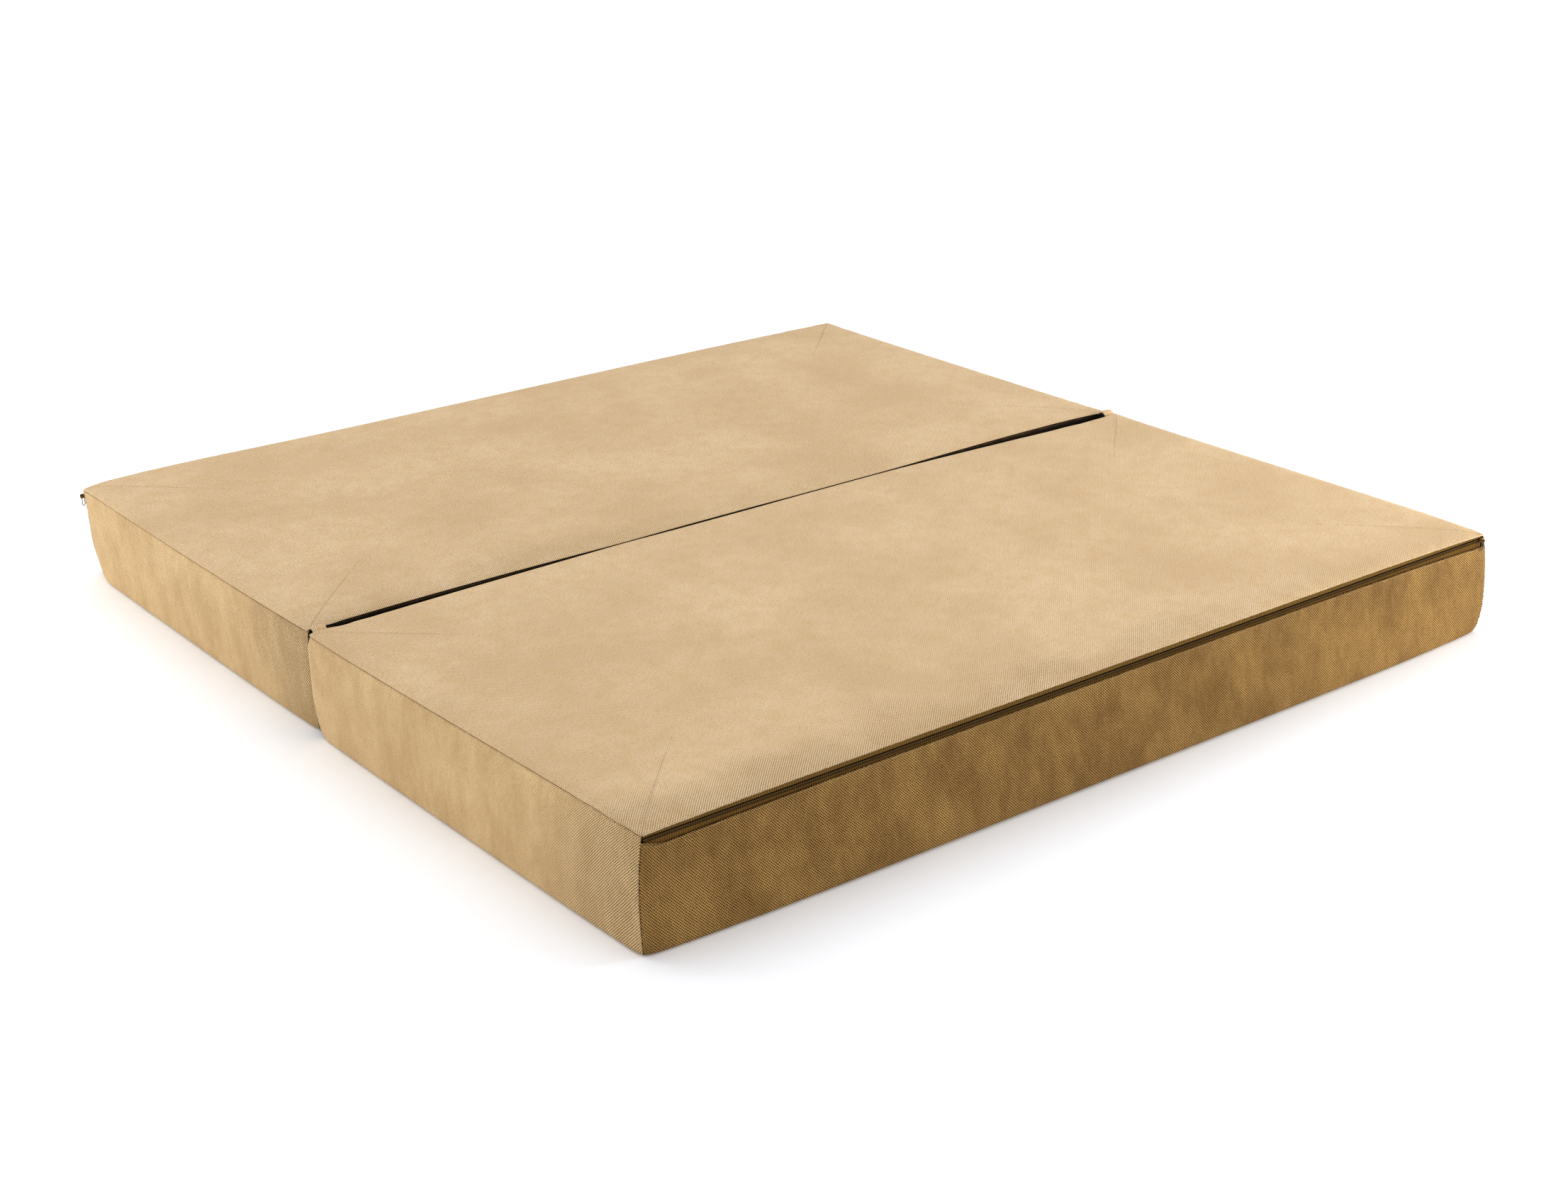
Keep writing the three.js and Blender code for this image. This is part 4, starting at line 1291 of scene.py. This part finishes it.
# %% Covers ride
surfaces = {}
for name, panel in covers.items():
    mesh = panel.data
    mesh.calc_loop_triangles()
    triangles = [tuple(t.vertices) for t in mesh.loop_triangles]
    surfaces[name] = BVHTree.FromPolygons([v.co[:] for v in mesh.vertices], triangles)
    cushion, kind = name.split("_cover_")
    put_in_place(panel, f"{cushion}_{kind}_panel", f"{cushion}_slab")

# %% [markdown]
# ## Hinge tabs
# A tab is a short piece of the cover cloth, folded double and caught in the inner seams of both
# cushions. It bridges the gap in a low arch.

# %% Tabs
TAB_SPAN, TAB_ROWS, TAB_COLUMNS = 0.0131, 13, 9
TAB_SEAM_HEIGHT, TAB_RISE, TAB_THICKNESS = 0.2041, 0.0080, 0.0030
TAB_OUTER, TAB_WIDTH = 1.0, 0.028
TAB_CURL, TAB_WAVE, WAVE_TURN = 0.0018, 0.0003, 9
TABS = {"near": (-1, 0.4), "far": (1, 2.1)}  # which end of the bed, and where its wave starts


def tab_mesh(name, low_x, high_x, tilt):
    xs = np.linspace(low_x, high_x, TAB_COLUMNS)
    shares = np.linspace(-1, 1, TAB_ROWS)
    points, faces, pattern = [], [], []
    for share in shares:
        for x in xs:
            side = (x - low_x) / (high_x - low_x) * 2 - 1
            arch = TAB_RISE * math.cos(share * math.pi / 2)
            curl = TAB_CURL * (0.5 - side**2) + TAB_WAVE * math.sin(WAVE_TURN * side + tilt)
            points.append((x, share * TAB_SPAN, TAB_SEAM_HEIGHT + arch + curl * (1 - share**2)))
    for i in range(TAB_ROWS - 1):
        for j in range(TAB_COLUMNS - 1):
            a = i * TAB_COLUMNS + j
            faces.append((a, a + 1, a + TAB_COLUMNS + 1, a + TAB_COLUMNS))
            for p, q in ((i, j), (i, j + 1), (i + 1, j + 1), (i + 1, j)):
                pattern.append((xs[q], shares[p] * TAB_SPAN))
    return thicken(new_mesh_object(name, points, faces, pattern), TAB_THICKNESS, 0)


for place, (end, tilt) in TABS.items():
    low_x, high_x = sorted((end * TAB_OUTER, end * (TAB_OUTER - TAB_WIDTH)))
    tab = tab_mesh(f"{place}_cloth_tab", low_x, high_x, tilt)
    tab.data.materials.append(top_cloth)
    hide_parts(f"{place}_hinge_tab")
    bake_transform(tab)

# %% [markdown]
# ## Rows of stitches
# A stitch is a short length of thread that dives into the cloth at both ends. Rows of hundreds
# follow the hems and the seams. One row of pale beads along the fold under the hem is no thread
# but a painted highlight. The tree takes a line of points as a curve, spaces stitches along it
# and turns each one along the line.

# %% Stitch rows
STITCH_SEED, STITCH_SIZES = 7, {"Min": 0.55, "Max": 1.25}


def stitch_tree():
    group = NodeGroup("stitch row", {
        "Pitch": "Float", "Stitch Length": "Float", "Thread": "Float", "Material": "Material",
    })
    given = group.given
    curve = group.add("GeometryNodeMeshToCurve", {0: given["Geometry"]})
    spaced = group.add("GeometryNodeResampleCurve", {0: curve, "Length": given["Pitch"]}, mode="LENGTH")
    ball = group.add("GeometryNodeMeshUVSphere", {"Segments": 6, "Rings": 4, "Radius": 1.0})
    half = group.add("ShaderNodeMath", {0: given["Stitch Length"], 1: 0.5}, operation="MULTIPLY")
    size = group.add("ShaderNodeCombineXYZ", {0: given["Thread"], 1: given["Thread"], 2: half})
    bead = group.add("GeometryNodeTransform", {0: ball, "Scale": size})
    tangent = group.add("GeometryNodeInputTangent")
    turn = group.add("FunctionNodeAlignEulerToVector", {"Vector": tangent}, axis="Z")
    uneven = group.add("FunctionNodeRandomValue", {**STITCH_SIZES, "Seed": STITCH_SEED}, output=1)
    return group.finish(group.add("GeometryNodeInstanceOnPoints", {
        "Points": spaced, "Instance": bead, "Rotation": turn, "Scale": uneven,
    }))


def thread_and_highlight_material(name, color):
    board = Board(name)
    twist = board.noise(board.place, 1800.0, 1.0)
    shade = board.blend(twist, color, tuple(c * 0.55 for c in color))
    return board.finish(shade, twist, relief=0.0001, Roughness=0.7)


stitch_rows = stitch_tree()
dark_thread = thread_and_highlight_material("dark seam thread", (0.05, 0.024, 0.008))
pale_thread = thread_and_highlight_material("cover thread", (0.26, 0.155, 0.06))
# Not a thread: pale beads along the hem's fold are a painted highlight.
fold_highlight = thread_and_highlight_material("painted fold highlight", (0.80, 0.60, 0.34))
STITCHES = {  # pitch, length and half width in metres, and the thread; the fold's is a painted highlight
    "hem": (0.0046, 0.0028, 0.0008, dark_thread),
    "fold": (0.0046, 0.0020, 0.0007, fold_highlight),
    "seam": (0.0056, 0.0026, 0.00035, pale_thread),
    "corner": (0.0050, 0.0032, 0.0010, dark_thread),
    "dart": (0.0048, 0.0022, 0.0004, pale_thread),
}


def stitches(cushion, kind, rows):
    """One object with all rows of one kind on one cushion."""
    name = f"{cushion}_{kind}_stitches"
    points, edges = [], []
    for row in rows:
        first = len(points)
        points += [tuple(p) for p in row]
        edges += [(first + k, first + k + 1) for k in range(len(row) - 1)]
    mesh = bpy.data.meshes.new(name)
    mesh.from_pydata(points, edges, [])
    made = bpy.data.objects.new(name, mesh)
    bpy.context.scene.collection.objects.link(made)
    labels = ("Pitch", "Stitch Length", "Thread", "Material")
    run_nodes(made, stitch_rows, dict(zip(labels, STITCHES[kind])))
    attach(made, f"{cushion}_slab")
    print(name, "has", len(made.data.polygons), "faces")


# %% Rows on the cloth
STITCH_SINK = 0.0001
OUTSIDE = 0.08  # rays start this far from the cloth
HEM_STITCH, FOLD_HIGHLIGHT_DROP = 0.0010, 0.0032  # below the front wall's hem
CREST_STITCH, END_STITCH = 0.0034, 0.0022  # below the crest at the zip, and below the end's seam
ALONG, ACROSS = np.linspace(-0.985, 0.985, 160), np.linspace(-0.485, 0.485, 80)
CORNER_START, DART_START, SHORT_ROW = 0.006, 0.008, 40
CORNERS = [(end, side) for end in (-1, 1) for side in (-1, 1)]


def lay_row(cushion, panel, starts, direction):
    """Drops points of the cushion's own frame onto the cloth along one direction."""
    sign = TURN[cushion]
    way = np.array(direction, float) * (sign, sign, 1)
    surface = surfaces[f"{cushion}_cover_{panel}"]
    hits = [surface.ray_cast(Vector(start), Vector(way))[0] for start in to_bed(cushion, starts)]
    return [np.array(hit) + way * STITCH_SINK for hit in hits if hit is not None]


def side_row(cushion, panel, height):
    """A row on the cushion's outer long side."""
    starts = np.column_stack([ALONG, np.full_like(ALONG, -HALF_WIDTH - OUTSIDE), height])
    return lay_row(cushion, panel, starts, (0, 1, 0))


def corner_row(cushion, end, side):
    """A row down an upright corner seam."""
    top = float(top_height(cushion, np.array(end * HALF_LENGTH), np.array(side * HALF_WIDTH)))
    band = BAND_ENDS if side < 0 and end > 0 else 2 * SEAM_DEPTH
    rise = np.linspace(CORNER_START, top - band, SHORT_ROW)
    corner_x, corner_y = np.full_like(rise, end * HALF_LENGTH), np.full_like(rise, side * HALF_WIDTH)
    move_x, move_y = stand_out(cushion, corner_x, corner_y, rise)
    x, y = round_corners(cushion, corner_x, corner_y, rise)
    starts = np.column_stack([x + move_x + end * OUTSIDE, y + move_y + side * OUTSIDE, rise])
    inwards = (-end * math.sqrt(0.5), -side * math.sqrt(0.5), 0)
    return lay_row(cushion, "side_and_base", starts, inwards)


def end_row(cushion, end):
    """A row under the top seam of one end."""
    edge = np.full_like(ACROSS, end * HALF_LENGTH)
    height = top_height(cushion, edge, ACROSS) - SEAM_DEPTH - END_STITCH
    starts = np.column_stack([edge + end * OUTSIDE, ACROSS, height])
    return lay_row(cushion, "side_and_base", starts, (-end, 0, 0))


def dart_row(cushion, end, side):
    """A row of small stitches that runs in from a corner of the top."""
    reach = np.linspace(DART_START, DART_LENGTH, SHORT_ROW)
    above = np.full_like(reach, EDGE_HEIGHT + OUTSIDE)
    starts = np.column_stack([end * (HALF_LENGTH - reach), side * (HALF_WIDTH - reach), above])
    return lay_row(cushion, "top", starts, (0, 0, -1))


for cushion in TURN:
    hem = hem_height(cushion, ALONG)
    crest = top_height(cushion, ALONG, np.full_like(ALONG, -HALF_WIDTH))
    stitches(cushion, "hem", [
        side_row(cushion, "side_and_base", hem - HEM_STITCH),
        side_row(cushion, "top", crest - CREST_STITCH),
    ])
    # pale beads along the hem's fold: a painted highlight
    stitches(cushion, "fold", [side_row(cushion, "side_and_base", hem - FOLD_HIGHLIGHT_DROP)])
    stitches(cushion, "seam", [end_row(cushion, end) for end in (-1, 1)])
    stitches(cushion, "corner", [corner_row(cushion, *corner) for corner in CORNERS])
    stitches(cushion, "dart", [dart_row(cushion, *corner) for corner in CORNERS])

# %% [markdown]
# ## Sliders and pulls
# The CAD sliders and pulls already have the right shapes. Their metal is cast and tumbled, so
# its edges are soft. Each is copied, its loose triangles are merged, and a narrow bevel catches
# the light along the edges.

# %% Metal of the zip
METAL_EDGE = {"width": 0.00025, "segments": 2, "angle": 40}
WELD_REACH = 0.00001


def metal_material(name, color, dark, roughness):
    board = Board(name)
    wear_and_shade = board.noise(board.place, 350.0, 5.0, 0.6)
    color = board.blend(board.span(wear_and_shade, 0.35, 0.7), color, dark)
    rough = board.span(wear_and_shade, 0.3, 0.7, roughness, roughness + 0.2)
    return board.finish(color, wear_and_shade, relief=0.00008, Roughness=rough, Metallic=1.0)


def softened_copy(name, node):
    """A copy of a CAD piece with merged points and rounded edges."""
    source = next(o for o in bpy.context.scene.objects if o.get("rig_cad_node") == node)
    copy = bpy.data.objects.new(name, source.data.copy())
    copy.data.materials.clear()
    bpy.context.scene.collection.objects.link(copy)
    copy.modifiers.new("weld", "WELD").merge_threshold = WELD_REACH
    round_edges(copy, **METAL_EDGE)
    copy.data.polygons.foreach_set("use_smooth", [True] * len(copy.data.polygons))
    return copy


METALS = {
    "slider": metal_material("aged brass", (0.30, 0.19, 0.07), (0.10, 0.055, 0.02), 0.35),
    "pull": metal_material("pale nickel", (0.38, 0.31, 0.21), (0.20, 0.15, 0.09), 0.30),
}
for cushion in TURN:
    for kind, material in METALS.items():
        node = f"{cushion}_zip_{kind}"
        made = softened_copy(f"{cushion}_{kind}_metal", node)
        made.data.materials.append(material)
        put_in_place(made, node, node)

# %% [markdown]
# ## Floor and light
# The picture has a white floor without a horizon and the softest of light: a bright room all
# round, so the shadows are thin grey lines that fade within a hand's width. A wide sun from
# behind lights the tops, a lamp at the near left brightens the end walls towards their far
# corners, and one at the far right does the same for the long front. The strengths were found by
# rendering the bed with one light at a time and weighing the pictures against the photograph.

# %% Floor
FLOOR_SIZE, FLOOR_GLOW, FLOOR_DROP = 120.0, 0.09, 0.0005
FLOOR_CORNERS = ((-1, -1), (1, -1), (1, 1), (-1, 1))


def make_floor():
    points = [(x * FLOOR_SIZE / 2, y * FLOOR_SIZE / 2, -FLOOR_DROP) for x, y in FLOOR_CORNERS]
    floor = new_mesh_object("studio_floor", points, [(0, 1, 2, 3)])
    board = Board("studio floor")
    color = board.blend(board.noise(board.place, 3.0), (0.90, 0.90, 0.91), (0.88, 0.88, 0.89))
    floor.data.materials.append(board.finish(
        color, Roughness=0.9, Specular_IOR_Level=0.0, Emission_Color=(1.0, 1.0, 1.0, 1.0),
        Emission_Strength=FLOOR_GLOW,
    ))


make_floor()
print("floor is", FLOOR_SIZE, "metres wide")

# %% Lights
SUN_PLACE, SUN_STRENGTH, SUN_WIDTH = (0.0, 0.5, 0.87), 0.84, 60.0  # width of the disc in degrees
LAMPS = {  # place in metres, power in watts
    "lamp at the near left": ((-2.6, 2.2, 0.9), 15.6),
    "lamp at the far right": ((2.8, -2.4, 0.7), 68.6),
}
LAMP_SIZE = 1.2
WORLD_COLOR, WORLD_STRENGTH = (0.95, 0.97, 1.0, 1.0), 0.87
PICTURE_GAMMA = 0.75


def make_light(name, kind, place, strength):
    """A light at a place, turned to the middle of the bed and hidden from the camera itself."""
    data = bpy.data.lights.new(name, kind)
    data.energy = strength
    light = bpy.data.objects.new(name, data)
    light.location = place
    light.rotation_euler = (-Vector(place)).to_track_quat("-Z", "Y").to_euler()
    light.visible_camera = False
    bpy.context.scene.collection.objects.link(light)
    return data


make_light("light from above", "SUN", SUN_PLACE, SUN_STRENGTH).angle = math.radians(SUN_WIDTH)
for name, (place, power) in LAMPS.items():
    make_light(name, "AREA", place, power).size = LAMP_SIZE
world = bpy.data.worlds.new("studio")
world.use_nodes = True
room = world.node_tree.nodes["Background"].inputs
room[0].default_value, room[1].default_value = WORLD_COLOR, WORLD_STRENGTH
bpy.context.scene.world = world
bpy.context.scene.view_settings.view_transform = "Standard"
bpy.context.scene.view_settings.gamma = PICTURE_GAMMA
print("lamps:", sorted(LAMPS))
